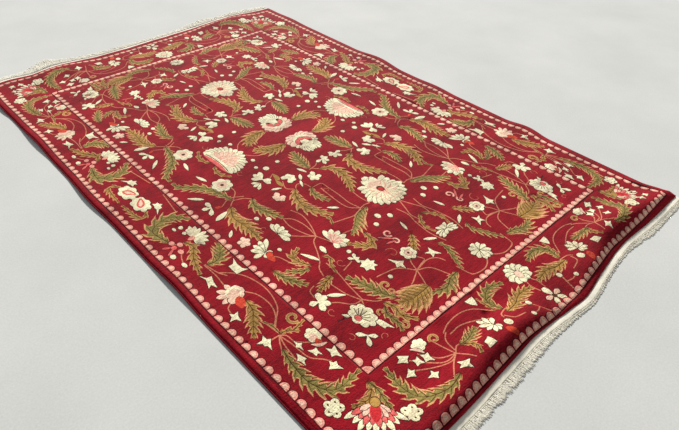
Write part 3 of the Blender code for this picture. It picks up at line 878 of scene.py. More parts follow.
# %% Corner palmette
CORNER_HEART = (119.6, 70.8)
for reach, width, count, yarn in ((9.8, 1.7, 9, "cream"), (7.4, 1.6, 8, "rose"), (5.4, 1.5, 7, "blush")):
    for k in range(count):
        turn = math.radians(-12 + 114 * k / (count - 1))
        swing = 1.0 - 0.10 * ((k + round(reach)) % 2)
        tip = (
            CORNER_HEART[0] + reach * swing * math.cos(turn),
            CORNER_HEART[1] + reach * swing * math.sin(turn),
        )
        outlined(yarn, [petal(CORNER_HEART, tip, width, 0.7)], 0.2)
outlined("ember", [petal(CORNER_HEART, (124, 75), 3.0, 0.5)], 0.22, "rose")
dot(CORNER_HEART, 1.5, 1.5, "gold", 0.2)
print("all strokes", len(woven))

# %% [markdown]
# ## The guard stripes
#
# Two rows of salmon scallops frame the border. They were spaced by eye so that the pitch stays the
# same round the whole rug, so they are set out in real lengths and not on the mirrored drawing. Each
# is a D with its flat side outwards, on a maroon line.

# %% Scallops in real lengths
INNER_SCALLOP = (0.0300, 0.0226)
OUTER_SCALLOP = (0.0305, 0.0203)
GUARD_LINE_WIDTH = 0.0042
DARK_ROUND_SCALLOP = 0.0026
PALE_HEART_INSET = 0.003
PALE_HEART_SHARE = (0.55, 0.58)
laid_strokes = []


def scallop(foot, forward, inwards, width, height):
    """A D shape: its flat side lies along forward, and its round side points inwards."""
    outline = [foot + forward * width / 2]
    for k in range(9):
        turn = math.pi * (0.06 + 0.88 * k / 8)
        reach = width / 2 * math.cos(turn) * 1.02
        outline.append(foot + forward * reach + inwards * height * (0.26 + 0.74 * math.sin(turn)))
    outline.append(foot - forward * width / 2)
    return np.array(outline)


def scallop_row(line, pitch, centre, corner_room, size):
    """Scallops along a guard line, a whole number of them between its two corners."""
    steps = np.linalg.norm(np.diff(line, axis=0), axis=1)
    run = np.concatenate([[0], np.cumsum(steps)])
    room = run[-1] - 2 * corner_room
    count = round(room / pitch)
    for k in range(count):
        here = corner_room + (k + 0.5) * room / count
        foot = np.array([np.interp(here, run, line[:, 0]), np.interp(here, run, line[:, 1])])
        ahead = np.array([np.interp(here + 0.01, run, line[:, 0]), np.interp(here + 0.01, run, line[:, 1])])
        forward = (ahead - foot) / np.linalg.norm(ahead - foot)
        inwards = np.array([-forward[1], forward[0]])
        if np.dot(inwards, centre - foot) < 0:
            inwards = -inwards
        shape = scallop(foot, forward, inwards, *size)
        laid_strokes.append(("maroon", grown(shape, DARK_ROUND_SCALLOP)))
        laid_strokes.append(("salmon", shape))
        heart_size = (size[0] * PALE_HEART_SHARE[0], size[1] * PALE_HEART_SHARE[1])
        heart = scallop(foot + inwards * PALE_HEART_INSET, forward, inwards, *heart_size)
        laid_strokes.append(("blush", heart))
    return count


def guard_line(line, outwards):
    """A thin maroon line along the flat side of the scallops."""
    out = square_to(line)
    if np.sum(out[len(out) // 2] * outwards) < 0:
        out = -out
    return np.concatenate([line, (line + out * GUARD_LINE_WIDTH)[::-1]])


def corner_scallop(corner, along_side, along_end, size):
    """The quarter round that turns a guard stripe round its corner."""
    outline = [corner]
    for k in range(7):
        turn = math.pi / 2 * k / 6
        outline.append(corner + size[1] * 1.15 * (along_side * math.cos(turn) + along_end * math.sin(turn)))
    shape = np.array(outline)
    laid_strokes.append(("maroon", grown(shape, DARK_ROUND_SCALLOP)))
    laid_strokes.append(("salmon", shape))


def guard_stripe(corners, edges, side_pitch, end_pitch, size):
    """Four rows between four corners: near left, near right, far right, far left."""
    counts = []
    middle = sum(corners) / 4
    for k, edge in enumerate(edges):
        start, finish = corners[k], corners[(k + 1) % 4]
        line = edge(start, finish)
        outwards = (start + finish) / 2 - middle
        laid_strokes.append(("maroon", guard_line(line, outwards)))
        pitch = side_pitch if k % 2 else end_pitch
        counts.append(scallop_row(line, pitch, middle, size[1] * 1.3, size))
    for k, corner_place in enumerate(corners):
        before, after = corners[k - 1] - corner_place, corners[(k + 1) % 4] - corner_place
        corner_scallop(corner_place, before / np.linalg.norm(before), after / np.linalg.norm(after), size)
    return counts


def straight(start, finish):
    share = np.linspace(0, 1, 200).reshape(-1, 1)
    return start + (finish - start) * share


def near_guard(x):
    return near_edge(x) + near_band(x)


def far_guard(x):
    return far_edge(x) - FAR_BAND


def end_line(guard):
    def line(start, finish):
        x = np.linspace(start[0], finish[0], 200)
        return np.stack([x, guard(x)], 1)
    return line


def side_line(edge, band):
    def line(start, finish):
        y = np.linspace(start[1], finish[1], 300)
        return np.stack([edge(y) + band, y], 1)
    return line


inner_corners = [
    np.array([side * INNER_ACROSS / CM, end * INNER_ALONG / CM])
    for side, end in ((-1, -1), (1, -1), (1, 1), (-1, 1))
]
outer_corners = []
for side, end in ((-1, -1), (1, -1), (1, 1), (-1, 1)):
    edge, band = (right_edge, -RIGHT_BAND) if side > 0 else (left_edge, LEFT_BAND)
    x = float(edge(end * 1.36) + band)
    y = float(far_guard(x) if end > 0 else near_guard(x))
    outer_corners.append(np.array([float(edge(y) + band), y]))
inner_counts = guard_stripe(inner_corners, (straight,) * 4, 0.0366, 0.0308, INNER_SCALLOP)
outer_counts = guard_stripe(
    outer_corners,
    (
        end_line(near_guard), side_line(right_edge, -RIGHT_BAND),
        end_line(far_guard), side_line(left_edge, LEFT_BAND),
    ),
    0.0364, 0.0350, OUTER_SCALLOP,
)
print("scallops: inner", inner_counts, "outer", outer_counts)

# %% [markdown]
# ## Weaving the drawing into one mesh
#
# A rug's colours change from knot to knot, so each colour has to lie in the mesh itself. All outlines
# go into one constrained triangulation as edges. Every triangle then lies inside or outside each
# outline, never across it. Painting is the same as on paper: the outlines are gone through in order,
# and each one colours the triangles whose middles it holds. Most outlines are partly painted over, and
# their hidden edges would only make the mesh heavy. So the edges where two yarns really meet are
# strung into lines, and a second triangulation is made of those lines alone, with the rim and a loose
# grid that lets the surface bend.

# %% Collect the outlines of all four quarters
LEFT_WEAR = 0.005
painted = []
for yarn, outline in woven:
    for side, end in ((-1, -1), (1, -1), (-1, 1), (1, 1)):
        painted.append((yarn, lay(outline, side, end) * CM))
for yarn, outline in laid_strokes:
    painted.append((YARNS.index(yarn), outline * CM))


def laid(across_share, along_share):
    """The place on the floor of a point given as shares of the rug's width and length."""
    straight_x = LEFT_EDGE_X + across_share * (RIGHT_EDGE_X - LEFT_EDGE_X)
    straight_y = NEAR_EDGE_Y + along_share * (FAR_EDGE_Y - NEAR_EDGE_Y)
    left = left_edge(straight_y) + LEFT_WEAR
    x = left + across_share * (right_edge(straight_y) - left)
    y = near_edge(straight_x) + along_share * (far_edge(straight_x) - near_edge(straight_x))
    return np.stack(np.broadcast_arrays(x, y), -1)


RIM_ACROSS, RIM_ALONG = 180, 280
share_x = np.arange(RIM_ACROSS) / RIM_ACROSS
share_y = np.arange(RIM_ALONG) / RIM_ALONG
rim = np.concatenate([
    laid(share_x, 0 * share_x), laid(0 * share_y + 1, share_y),
    laid(1 - share_x, 0 * share_x + 1), laid(0 * share_y, 1 - share_y),
]) * CM
SHOULDER = 0.55
shoulder = grown(rim, -SHOULDER)
print(len(painted), "outlines,", sum(len(outline) for _, outline in painted), "points")

# %% A grid that lets the surface bend
def stations(length, fine_reach, fine, coarse):
    """Shares of a length: close together near both ends, wider apart between."""
    near = np.arange(fine, fine_reach, fine)
    middle = np.linspace(fine_reach, length - fine_reach, round((length - 2 * fine_reach) / coarse) + 1)
    return np.concatenate([near, middle, length - near[::-1]]) / length


grid_x, grid_y = np.meshgrid(stations(180, 12, 1.5, 2.6), stations(280, 14, 1.2, 2.6))
grid = laid(grid_x.ravel(), grid_y.ravel()) * CM
print(len(grid), "grid points")


# %% Triangulate
MERGE_WITHIN = 0.004


def triangulate(loops, lines, loose):
    """A triangulation that keeps closed loops and open lines as edges."""
    points, edges = [], []
    for line, closed in [(loop, True) for loop in loops] + [(line, False) for line in lines]:
        first, count = len(points), len(line)
        points += [tuple(p) for p in line]
        edges += [(first + k, first + (k + 1) % count) for k in range(count if closed else count - 1)]
    points += [tuple(p) for p in loose]
    out = delaunay_2d_cdt([Vector(p) for p in points], edges, [], 0, MERGE_WITHIN, True)
    return np.array([tuple(p) for p in out[0]]), np.array(out[2]), out[3]


def winding_inside(outline, points, block=4000):
    """Which points lie inside an outline, counted by how often it winds round them."""
    ax, ay = outline[:, 0], outline[:, 1]
    bx, by = np.roll(ax, -1), np.roll(ay, -1)
    found = []
    for first in range(0, len(points), block):
        x, y = points[first:first + block, 0:1], points[first:first + block, 1:2]
        left = (bx - ax) * (y - ay) - (x - ax) * (by - ay)
        up = (ay <= y) & (by > y) & (left > 0)
        down = (ay > y) & (by <= y) & (left < 0)
        found.append((up.sum(1) - down.sum(1)) != 0)
    return np.concatenate(found) if found else np.zeros(0, bool)


def inside_rim(spots, triangles):
    """The triangles within the rim, and their middles."""
    middles = spots[triangles].mean(1)
    keep = winding_inside(rim, middles)
    return triangles[keep], middles[keep]


def yarns_at(middles):
    """The yarn at each place, found by painting all outlines in their order."""
    order = np.argsort(middles[:, 0])
    sorted_middles = middles[order]
    yarns = np.zeros(len(middles), int)
    for yarn, outline in painted:
        low, high = outline.min(0), outline.max(0)
        a, b = np.searchsorted(sorted_middles[:, 0], (low[0], high[0]))
        band = sorted_middles[a:b]
        near = np.nonzero((band[:, 1] >= low[1]) & (band[:, 1] <= high[1]))[0]
        if len(near):
            hit = near[winding_inside(outline, band[near])]
            yarns[order[a + hit]] = yarn
    return yarns


spots, triangles, _ = triangulate([rim] + [outline for _, outline in painted], [], [])
triangles, middles = inside_rim(spots, triangles)
print(len(triangles), "triangles with every outline in full")

# %% String the edges where two yarns meet
THIN_TO = 0.035


def shared_edges(triangles):
    """Edges with the two triangles beside each, and the edges that have one triangle only."""
    ends = np.sort(np.concatenate([triangles[:, [k, (k + 1) % 3]] for k in range(3)]), 1)
    owner = np.tile(np.arange(len(triangles)), 3)
    order = np.lexsort((ends[:, 1], ends[:, 0]))
    ends, owner = ends[order], owner[order]
    paired = np.append(np.all(ends[1:] == ends[:-1], 1), False)
    second = np.append(False, paired[:-1])
    first = np.nonzero(paired)[0]
    return ends[first], owner[first], owner[first + 1], ends[~paired & ~second]


def strings(edges):
    """Lines of points along the edges, each from one meeting of lines to the next."""
    beside = {}
    for a, b in edges.tolist():
        beside.setdefault(a, []).append(b)
        beside.setdefault(b, []).append(a)
    unused = {frozenset(edge) for edge in edges.tolist()}
    meetings = [spot for spot, others in beside.items() if len(others) != 2]
    found = []
    for start in meetings + list(beside):
        for other in beside[start]:
            if frozenset((start, other)) not in unused:
                continue
            line = [start, other]
            unused.discard(frozenset(line))
            while line[-1] != start and len(beside[line[-1]]) == 2:
                after = next(spot for spot in beside[line[-1]] if spot != line[-2])
                unused.discard(frozenset((line[-1], after)))
                line.append(after)
            found.append(line)
    return found


def thinned(line, tolerance):
    """A line without the points that hardly stray from the straight run between the others."""
    keep = np.zeros(len(line), bool)
    keep[[0, -1]] = True
    runs = [(0, len(line) - 1)]
    while runs:
        first, last = runs.pop()
        if last - first < 2:
            continue
        run, inner = line[last] - line[first], line[first + 1:last] - line[first]
        length = np.hypot(*run)
        if length > MERGE_WITHIN:
            stray = np.abs(inner[:, 0] * run[1] - inner[:, 1] * run[0]) / length
        else:
            stray = np.hypot(inner[:, 0], inner[:, 1])
        furthest = int(np.argmax(stray))
        if stray[furthest] > tolerance:
            keep[first + 1 + furthest] = True
            runs += [(first, first + 1 + furthest), (first + 1 + furthest, last)]
    return line[keep]


yarn_of = yarns_at(middles)
edges, one, other, _ = shared_edges(triangles)
lines = [thinned(spots[line], THIN_TO) for line in strings(edges[yarn_of[one] != yarn_of[other]])]
lines = [line for line in lines if np.ptp(line, axis=0).max() > MERGE_WITHIN]
print(len(lines), "lines where two yarns meet,", sum(len(line) for line in lines), "points")

# %% Triangulate those lines and paint
spots, triangles, _ = triangulate([rim, shoulder], lines, grid)
triangles, middles = inside_rim(spots, triangles)
used = np.unique(triangles)
renumber = np.full(len(spots), -1)
renumber[used] = np.arange(len(used))
spots, triangles = spots[used], renumber[triangles]
yarn_of = yarns_at(middles)
print(len(spots), "points,", len(triangles), "triangles of pile")
for k, name in enumerate(YARNS):
    print(f"{name:8s} {int((yarn_of == k).sum()):6d} triangles")

# %% [markdown]
# ## The yarns
#
# Hand-spun wool never takes a dye evenly. Bands of a slightly different lot run across the rug, the
# colour is mottled, and each tuft catches the light in its own way. One function makes the finish of
# every yarn from its colour: bands, mottling and tufts shift the colour between a darker and a
# lighter tone, and the tufts also raise a bump. A sheen gives the soft bright look of clipped pile.

# %% One finish for all knotted yarns
def linear(colour):
    """A screen colour, 0 to 255 a channel, as the linear light that shaders want."""
    return tuple((c / 255) ** 2.2 for c in colour) + (1.0,)


def toned(colour, by):
    return tuple(min(1.0, c * by) for c in colour[:3]) + (1.0,)


def add(tree, kind, at, **values):
    node = tree.nodes.new(kind)
    node.location = at
    for name, value in values.items():
        if hasattr(node, name):
            setattr(node, name, value)
        else:
            node.inputs[name.replace("_", " ")].default_value = value
    return node


def noise_at(tree, places, at, scale, stretch=(1, 1, 1), detail=2.0):
    mapping = add(tree, "ShaderNodeMapping", (at[0], at[1]))
    mapping.inputs["Scale"].default_value = stretch
    tree.links.new(places, mapping.inputs["Vector"])
    noise = add(tree, "ShaderNodeTexNoise", (at[0] + 180, at[1]))
    noise.inputs["Scale"].default_value = scale
    noise.inputs["Detail"].default_value = detail
    noise.inputs["Roughness"].default_value = 0.6
    tree.links.new(mapping.outputs["Vector"], noise.inputs["Vector"])
    return noise.outputs["Fac"]


def weighed(tree, parts, at):
    """0.5 plus each signal's distance from 0.5, times its weight."""
    total = None
    for k, (signal, weight) in enumerate(parts):
        scaled = add(tree, "ShaderNodeMath", (at[0] + 170 * k, at[1]), operation="MULTIPLY_ADD")
        tree.links.new(signal, scaled.inputs[0])
        scaled.inputs[1].default_value = weight
        scaled.inputs[2].default_value = 0.5 - 0.5 * weight if total is None else -0.5 * weight
        if total is None:
            total = scaled.outputs[0]
            continue
        joined = add(tree, "ShaderNodeMath", (at[0] + 170 * k + 80, at[1] - 160), operation="ADD")
        tree.links.new(total, joined.inputs[0])
        tree.links.new(scaled.outputs[0], joined.inputs[1])
        total = joined.outputs[0]
    return total


def new_finish(name):
    """A new material with its node tree, its shader and the place of each point on the piece."""
    material = bpy.data.materials.new(name)
    material.use_nodes = True
    tree = material.node_tree
    places = add(tree, "ShaderNodeTexCoord", (-1500, 0)).outputs["Object"]
    return material, tree, tree.nodes["Principled BSDF"], places


def coloured(tree, shader, tone, *stops):
    """Colours the shader by a tone, between two stops that each hold a place and a colour."""
    ramp = add(tree, "ShaderNodeValToRGB", (-300, 200))
    for element, (place, colour) in zip(ramp.color_ramp.elements, stops):
        element.position = place
        element.color = colour
    tree.links.new(tone, ramp.inputs["Fac"])
    tree.links.new(ramp.outputs["Color"], shader.inputs["Base Color"])


def raised(tree, shader, height, strength, distance):
    bump_node = add(tree, "ShaderNodeBump", (-300, -300))
    bump_node.inputs["Strength"].default_value = strength
    bump_node.inputs["Distance"].default_value = distance
    tree.links.new(height, bump_node.inputs["Height"])
    tree.links.new(bump_node.outputs["Normal"], shader.inputs["Normal"])


def knotted(name, colour, dark=0.50, light=1.55, sheen=0.5, bands=0.9):
    material, tree, shader, places = new_finish(name)
    lots = noise_at(tree, places, (-1300, 300), 1.0, (0.9, 9.0, 1.0), 4.0)
    mottle = noise_at(tree, places, (-1300, 0), 9.0, detail=6.0)
    tufts = noise_at(tree, places, (-1300, -300), 230.0, (1.0, 1.25, 1.0), 1.0)
    rows_of_knots = noise_at(tree, places, (-1300, -600), 60.0, (0.6, 3.2, 1.0), 2.0)
    tone = weighed(
        tree, ((lots, bands), (mottle, 0.9), (tufts, 1.1), (rows_of_knots, 0.9)), (-900, 200)
    )
    base = linear(colour)
    coloured(tree, shader, tone, (0.15, toned(base, dark)), (0.85, toned(base, light)))
    relief = weighed(tree, ((tufts, 1.0), (rows_of_knots, 0.7)), (-900, -500))
    raised(tree, shader, relief, 0.7, 0.0018)
    shader.inputs["Roughness"].default_value = 0.92
    shader.inputs["Specular IOR Level"].default_value = 0.12
    shader.inputs["Sheen Weight"].default_value = sheen
    shader.inputs["Sheen Roughness"].default_value = 0.45
    shader.inputs["Sheen Tint"].default_value = toned(base, 2.2)
    return material


YARN_COLOURS = {
    "crimson": (126, 18, 30),
    "maroon": (62, 14, 22),
    "cream": (236, 208, 170),
    "blush": (236, 176, 152),
    "salmon": (226, 140, 124),
    "rose": (205, 92, 88),
    "gold": (150, 116, 62),
    "moss": (124, 112, 62),
    "tan": (196, 142, 100),
    "walnut": (78, 46, 26),
    "vine": (176, 112, 86),
    "brick": (186, 64, 46),
    "ember": (176, 44, 48),
}
finishes = {name: knotted(f"{name}_wool", YARN_COLOURS[name]) for name in YARNS}
print(len(finishes), "knotted finishes")

# %% [markdown]
# ## The pile
#
# The triangles are lifted to the rug's waves and by the height of the clipped pile. The maroon lines
# lie a little lower and the flowers stand a little proud, as a weaver carves round them. The rim
# falls away over a small shoulder. The back is a second, loose triangulation of the same rim, and a
# band of wall joins the two, so that the cloth is one closed body.

# %% Build the pile as one closed cloth
CARVING = {
    "crimson": 0.0, "maroon": -0.9, "cream": 0.7, "blush": 0.7, "salmon": 0.6, "rose": 0.4,
    "gold": 0.4, "moss": 0.4, "tan": 0.3, "walnut": -0.6, "vine": 0.1, "brick": 0.4, "ember": 0.4,
}
MILLIMETRE = 0.001
RIM_DROP = 0.0042
carved = np.array([CARVING[name] for name in YARNS])[yarn_of] * MILLIMETRE
height_sum, touching = np.zeros(len(spots)), np.zeros(len(spots))
for corner_of in range(3):
    np.add.at(height_sum, triangles[:, corner_of], carved)
    np.add.at(touching, triangles[:, corner_of], 1)
relief = height_sum / np.maximum(touching, 1)
places_m = spots / CM
draw = random.Random(11)
for _ in range(7):
    length, turn = draw.uniform(0.10, 0.34), draw.uniform(0, math.tau)
    phase = draw.uniform(0, math.tau)
    wave = places_m @ np.array([math.cos(turn), math.sin(turn)]) * math.tau / length
    relief += 0.00022 * np.sin(wave + phase)

*_, open_edges = shared_edges(triangles)
loop = np.array(strings(open_edges)[0][:-1])
if area_sign(spots[loop]) < 0:
    loop = loop[::-1]
print("rim of", len(loop), "points, open edges", len(open_edges))

tops = lift(places_m[:, 0], places_m[:, 1]) + PILE_HEIGHT + relief
tops[loop] -= RIM_DROP

back_x, back_y = np.meshgrid(stations(180, 12, 3.0, 5.0), stations(280, 15, 2.4, 5.0))
back_grid = laid(back_x.ravel(), back_y.ravel()) * CM
back_spots, back_triangles, back_source = triangulate([spots[loop]], [], back_grid)
inside = winding_inside(spots[loop], back_spots[back_triangles].mean(1))
back_triangles = back_triangles[inside]
back_index = np.full(len(back_spots), -1)
rim_back = np.full(len(loop), -1)
for k, sources in enumerate(back_source):
    back_index[k] = len(spots) + k
    for source in sources:
        if source < len(loop):
            rim_back[source] = len(spots) + k
back_lift = lift(back_spots[:, 0] / CM, back_spots[:, 1] / CM)

all_points = np.concatenate([
    np.column_stack([places_m, tops]), np.column_stack([back_spots / CM, back_lift]),
])
all_points[:, 0] -= MIDDLE_X
all_points[:, 1] -= MIDDLE_Y


def wound(corners, points, upwards):
    """The triangles turned so that they all face up, or all face down."""
    a, b, c = (points[corners[:, k]] for k in range(3))
    area = (b[:, 0] - a[:, 0]) * (c[:, 1] - a[:, 1]) - (c[:, 0] - a[:, 0]) * (b[:, 1] - a[:, 1])
    turned = corners.copy()
    wrong = (area < 0) if upwards else (area > 0)
    turned[wrong] = turned[wrong][:, ::-1]
    return turned


pile_faces = wound(triangles, spots, True).tolist()
back_faces = wound(back_index[back_triangles], all_points, False).tolist()
wall_faces = []
for k in range(len(loop)):
    after = (k + 1) % len(loop)
    wall_faces.append((int(rim_back[k]), int(rim_back[after]), int(loop[after]), int(loop[k])))
mesh = bpy.data.meshes.new("knotted_pile")
mesh.from_pydata(all_points.tolist(), [], pile_faces + back_faces + wall_faces)
pile = bpy.data.objects.new("knotted_pile", mesh)
bpy.context.collection.objects.link(pile)
for name in YARNS:
    mesh.materials.append(finishes[name])
back_finish = knotted("back_of_the_knots", (128, 44, 46), 0.6, 1.5, 0.05, 1.6)
mesh.materials.append(back_finish)
slots = np.concatenate([yarn_of, np.full(len(back_faces), len(YARNS)), np.zeros(len(wall_faces), int)])
mesh.polygons.foreach_set("material_index", slots.astype(np.int32))
mesh.polygons.foreach_set("use_smooth", np.ones(len(slots), bool))
mesh.update()
problems = mesh.validate(verbose=False)
print("pile faces", len(mesh.polygons), "needed mending:", problems)

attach(pile, "root")
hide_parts("rug_pile")

# %% [markdown]
# ## The overcast side cords
#
# Along each long side the outermost warps are bundled and wrapped with dark red yarn. The wraps show
# as small slanted rings. The cord is a tube whose rings swell and shrink three to a wrap, with the
# rings tilted, so the slant is in the mesh.

# %% Overcast cords
CORD_WIDTH, CORD_HEIGHT, GAP = 0.0050, 0.0055, 0.0003
WRAP_PITCH = 0.0042
WRAP_PROFILE = (0.84, 1.0, 0.97)
WRAP_SLANT = 0.0011
CORD_SIDES = 8


def tube_faces(first, rings, around):
    """The faces of a closed tube whose rings of points follow each other from the first point on."""
    faces = []
    for k in range(rings - 1):
        for j in range(around):
            here, after = first + k * around + j, first + k * around + (j + 1) % around
            faces.append((here, after, after + around, here + around))
    faces.append(tuple(range(first, first + around))[::-1])
    faces.append(tuple(range(first + (rings - 1) * around, first + rings * around)))
    return faces


def solid(name, points, faces):
    """An object from points and faces, with its faces turned outwards."""
    shape = bmesh.new()
    corners = [shape.verts.new(p) for p in points]
    for face in faces:
        shape.faces.new([corners[k] for k in face])
    bmesh.ops.recalc_face_normals(shape, faces=shape.faces)
    made = bpy.data.meshes.new(name)
    shape.to_mesh(made)
    shape.free()
    made.polygons.foreach_set("use_smooth", np.ones(len(made.polygons), bool))
    thing = bpy.data.objects.new(name, made)
    bpy.context.collection.objects.link(thing)
    return thing


def overcast_cord(name, side):
    wraps = round((FAR_EDGE_Y - NEAR_EDGE_Y) / WRAP_PITCH)
    count = wraps * len(WRAP_PROFILE) + 1
    share = np.linspace(0, 1, count)
    line = laid(share * 0 + (1.0 if side > 0 else 0.0), share)
    turn = np.arange(CORD_SIDES) / CORD_SIDES * math.tau
    swell = np.array([WRAP_PROFILE[k % len(WRAP_PROFILE)] for k in range(count)]).reshape(-1, 1)
    out = line[:, 0:1] + side * (GAP + CORD_WIDTH / 2) + np.cos(turn) * CORD_WIDTH / 2 * swell
    ahead = line[:, 1:2] + WRAP_SLANT * np.sin(turn)
    ahead = np.clip(ahead, line[0, 1], line[-1, 1])
    rise = lift(line[:, 0], line[:, 1]).reshape(-1, 1)
    up = rise + CORD_HEIGHT / 2 + np.sin(turn) * CORD_HEIGHT / 2 * swell
    points = np.stack([out - MIDDLE_X, ahead - MIDDLE_Y, up], -1).reshape(-1, 3)
    return solid(name, points, tube_faces(0, count, CORD_SIDES)), wraps


cord_finish = knotted("overcast_wool", (104, 18, 30), 0.6, 1.4, 0.25)
for name, side, node in (("left_side_cord", -1, "selvedge_left"), ("right_side_cord", 1, "selvedge_right")):
    side_cord, wraps = overcast_cord(name, side)
    side_cord.data.materials.append(cord_finish)
    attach(side_cord, "root")
    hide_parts(node)
    print(name, wraps, "wraps")

# %% [markdown]
# ## The end webs and the fringe
#
# Past each end of the pile the cotton warps are woven flat for two centimetres, so that the knots
# can't slip off. Then they are knotted in small bunches and left as fringe. The web is a thin strip
# with the ribs of its plain weave, and every bunch has a knot and seven loose yarns that spread on
# the floor.

# %% Cotton finish
def cotton(name, colour):
    material, tree, shader, places = new_finish(name)
    soil = noise_at(tree, places, (-1100, 200), 16.0, detail=4.0)
    plies = noise_at(tree, places, (-1100, -100), 700.0, (1.0, 0.35, 1.0), 1.0)
    tone = weighed(tree, ((soil, 0.9), (plies, 0.7)), (-700, 100))
    base = linear(colour)
    coloured(tree, shader, tone, (0.1, toned(base, 0.62)), (0.8, toned(base, 1.12)))
    raised(tree, shader, plies, 0.4, 0.0006)
    shader.inputs["Roughness"].default_value = 0.9
    shader.inputs["Sheen Weight"].default_value = 0.15
    return material


cotton_finish = cotton("warp_cotton", (238, 232, 214))
print("cotton ready")

# %% End webs
WEB_WIDTH, WEB_THICKNESS = 0.022, 0.003
RIB_PITCH, RIB_HEIGHT = 0.0042, 0.00045
RAGGED = 0.0028
WEB_COLUMNS = 860
# Round the web's section, from the pile outwards: share of its width, share of its thickness
WEB_SECTION = (
    (0.0, 0.05), (0.0, 0.85), (0.2, 1.0), (0.4, 1.0), (0.6, 0.96), (0.8, 0.9), (1.0, 0.62), (1.0, 0.05),
)


def web_points(far):
    """Rows of points across the web, from the pile outwards, over its top and back underneath."""
    share = np.linspace(0, 1, WEB_COLUMNS)
    line = laid(share, share * 0 + (1.0 if far else 0.0))
    outwards = 1 if far else -1
    draw = np.random.default_rng(21 + far)
    ragged = np.convolve(draw.normal(0, 1, WEB_COLUMNS), np.ones(9) / 9, "same") * RAGGED
    rings = []
    width = line[-1, 0] - line[0, 0]
    ribs = np.sin(np.arange(WEB_COLUMNS) * width / WEB_COLUMNS * math.tau / RIB_PITCH)
    for k, (out, up) in enumerate(WEB_SECTION):
        reach = GAP + out * WEB_WIDTH + (ragged if out == 1.0 else 0.0)
        weave = ribs * RIB_HEIGHT * (1 if k % 2 else -1) * (0.2 < up)
        height = np.clip(up * WEB_THICKNESS * 0.92 + weave, 0.0001, None)
        y = line[:, 1] + outwards * reach - MIDDLE_Y
        rings.append(np.column_stack([line[:, 0] - MIDDLE_X, y, height]))
    return np.stack(rings, 1)


def end_web(name, far):
    rings = web_points(far)
    return solid(name, rings.reshape(-1, 3).tolist(), tube_faces(0, *rings.shape[:2]))


for name, far, node in (("near_end_web", 0, "end_fringe_near"), ("far_end_web", 1, "end_fringe_far")):
    web = end_web(name, far)
    web.data.materials.append(cotton_finish)
    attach(web, "root")
    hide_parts(node)
    print(name, len(web.data.polygons), "faces")

# %% Fringe: a knot and seven loose yarns to a bunch
NEAR_FRINGE = (
    (-0.90, 0.034, -0.004), (-0.62, 0.030, 0.004), (-0.40, 0.031, 0.007), (-0.20, 0.027, 0.005),
    (0.00, 0.013, 0.002), (0.20, 0.009, 0.000), (0.40, 0.010, 0.002), (0.54, 0.024, 0.006),
    (0.70, 0.019, 0.004), (0.90, 0.016, 0.006),
)
FAR_FRINGE = (
    (-0.90, 0.045, 0.004), (-0.70, 0.050, 0.004), (-0.55, 0.120, 0.000), (-0.42, 0.060, -0.006),
    (-0.10, 0.046, -0.004), (0.20, 0.040, 0.004), (0.46, 0.075, 0.002), (0.60, 0.045, -0.004),
    (0.76, 0.070, 0.000), (0.95, 0.040, 0.004),
)
BUNCHES = 330
YARNS_PER_BUNCH = 7
YARN_RADIUS = 0.0010
KNOT_RADIUS = 0.0024


def tube(points, faces, line, radii, sides=4):
    """Adds a closed tube along a line of places to a growing list of points and faces."""
    first = len(points)
    line = np.asarray(line, float)
    out = np.gradient(line, axis=0)
    out /= np.maximum(np.linalg.norm(out, axis=1, keepdims=True), 1e-9)
    across_it = np.cross(out, (0, 0, 1.0))
    across_it /= np.maximum(np.linalg.norm(across_it, axis=1, keepdims=True), 1e-9)
    up = np.cross(across_it, out)
    for k in range(len(line)):
        for j in range(sides):
            turn = (j + 0.5) / sides * math.tau
            points.append(line[k] + radii[k] * (across_it[k] * math.cos(turn) + up[k] * math.sin(turn)))
    faces += tube_faces(first, len(line), sides)


def end_fringe(name, far):
    table = FAR_FRINGE if far else NEAR_FRINGE
    outwards = 1 if far else -1
    draw = random.Random(41 + far)
    points, faces = [], []
    for bunch in range(BUNCHES):
        share = (bunch + 0.5 + draw.uniform(-0.25, 0.25)) / BUNCHES
        foot = laid(np.array(share), np.array(1.0 if far else 0.0))
        x, y = float(foot[0]) - MIDDLE_X, float(foot[1]) - MIDDLE_Y
        y += outwards * (GAP + WEB_WIDTH - 0.002)
        length = along(table, float(foot[0]), 1) * draw.uniform(0.8, 1.1)
        lean = along(table, float(foot[0]), 2) + draw.uniform(-0.003, 0.003)
        knot_at = min(0.0045, length * 0.4)
        knot = [(x, y + outwards * (knot_at + d), 0.0021) for d in (-0.0022, -0.0011, 0.0005, 0.0020)]
        tube(points, faces, knot, (0.0008, KNOT_RADIUS * 0.95, KNOT_RADIUS, 0.0010), 6)
        for _ in range(YARNS_PER_BUNCH):
            reach = length * draw.uniform(0.62, 1.0)
            side_run = lean + draw.uniform(-1, 1) * min(0.30 * length, 0.0095)
            sway, phase = draw.uniform(0.0004, 0.0018), draw.uniform(0, math.tau)
            line = []
            for k in range(6):
                t = k / 5
                line.append((
                    x + draw.uniform(-0.0006, 0.0006) + side_run * t**1.3 + sway * math.sin(4.2 * t + phase),
                    y + outwards * (knot_at + reach * t),
                    YARN_RADIUS + 0.0013 * (1 - t) ** 2 + draw.uniform(0, 0.0004),
                ))
            tube(points, faces, line, np.linspace(YARN_RADIUS, YARN_RADIUS * 0.6, 6))
    return solid(name, [tuple(p) for p in points], faces)


for name, far, node in (("near_fringe", 0, "end_fringe_near"), ("far_fringe", 1, "end_fringe_far")):
    fringe = end_fringe(name, far)
    fringe.data.materials.append(cotton_finish)
    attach(fringe, "root")
    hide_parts(node)
    print(name, sum(len(p.vertices) - 2 for p in fringe.data.polygons), "triangles")

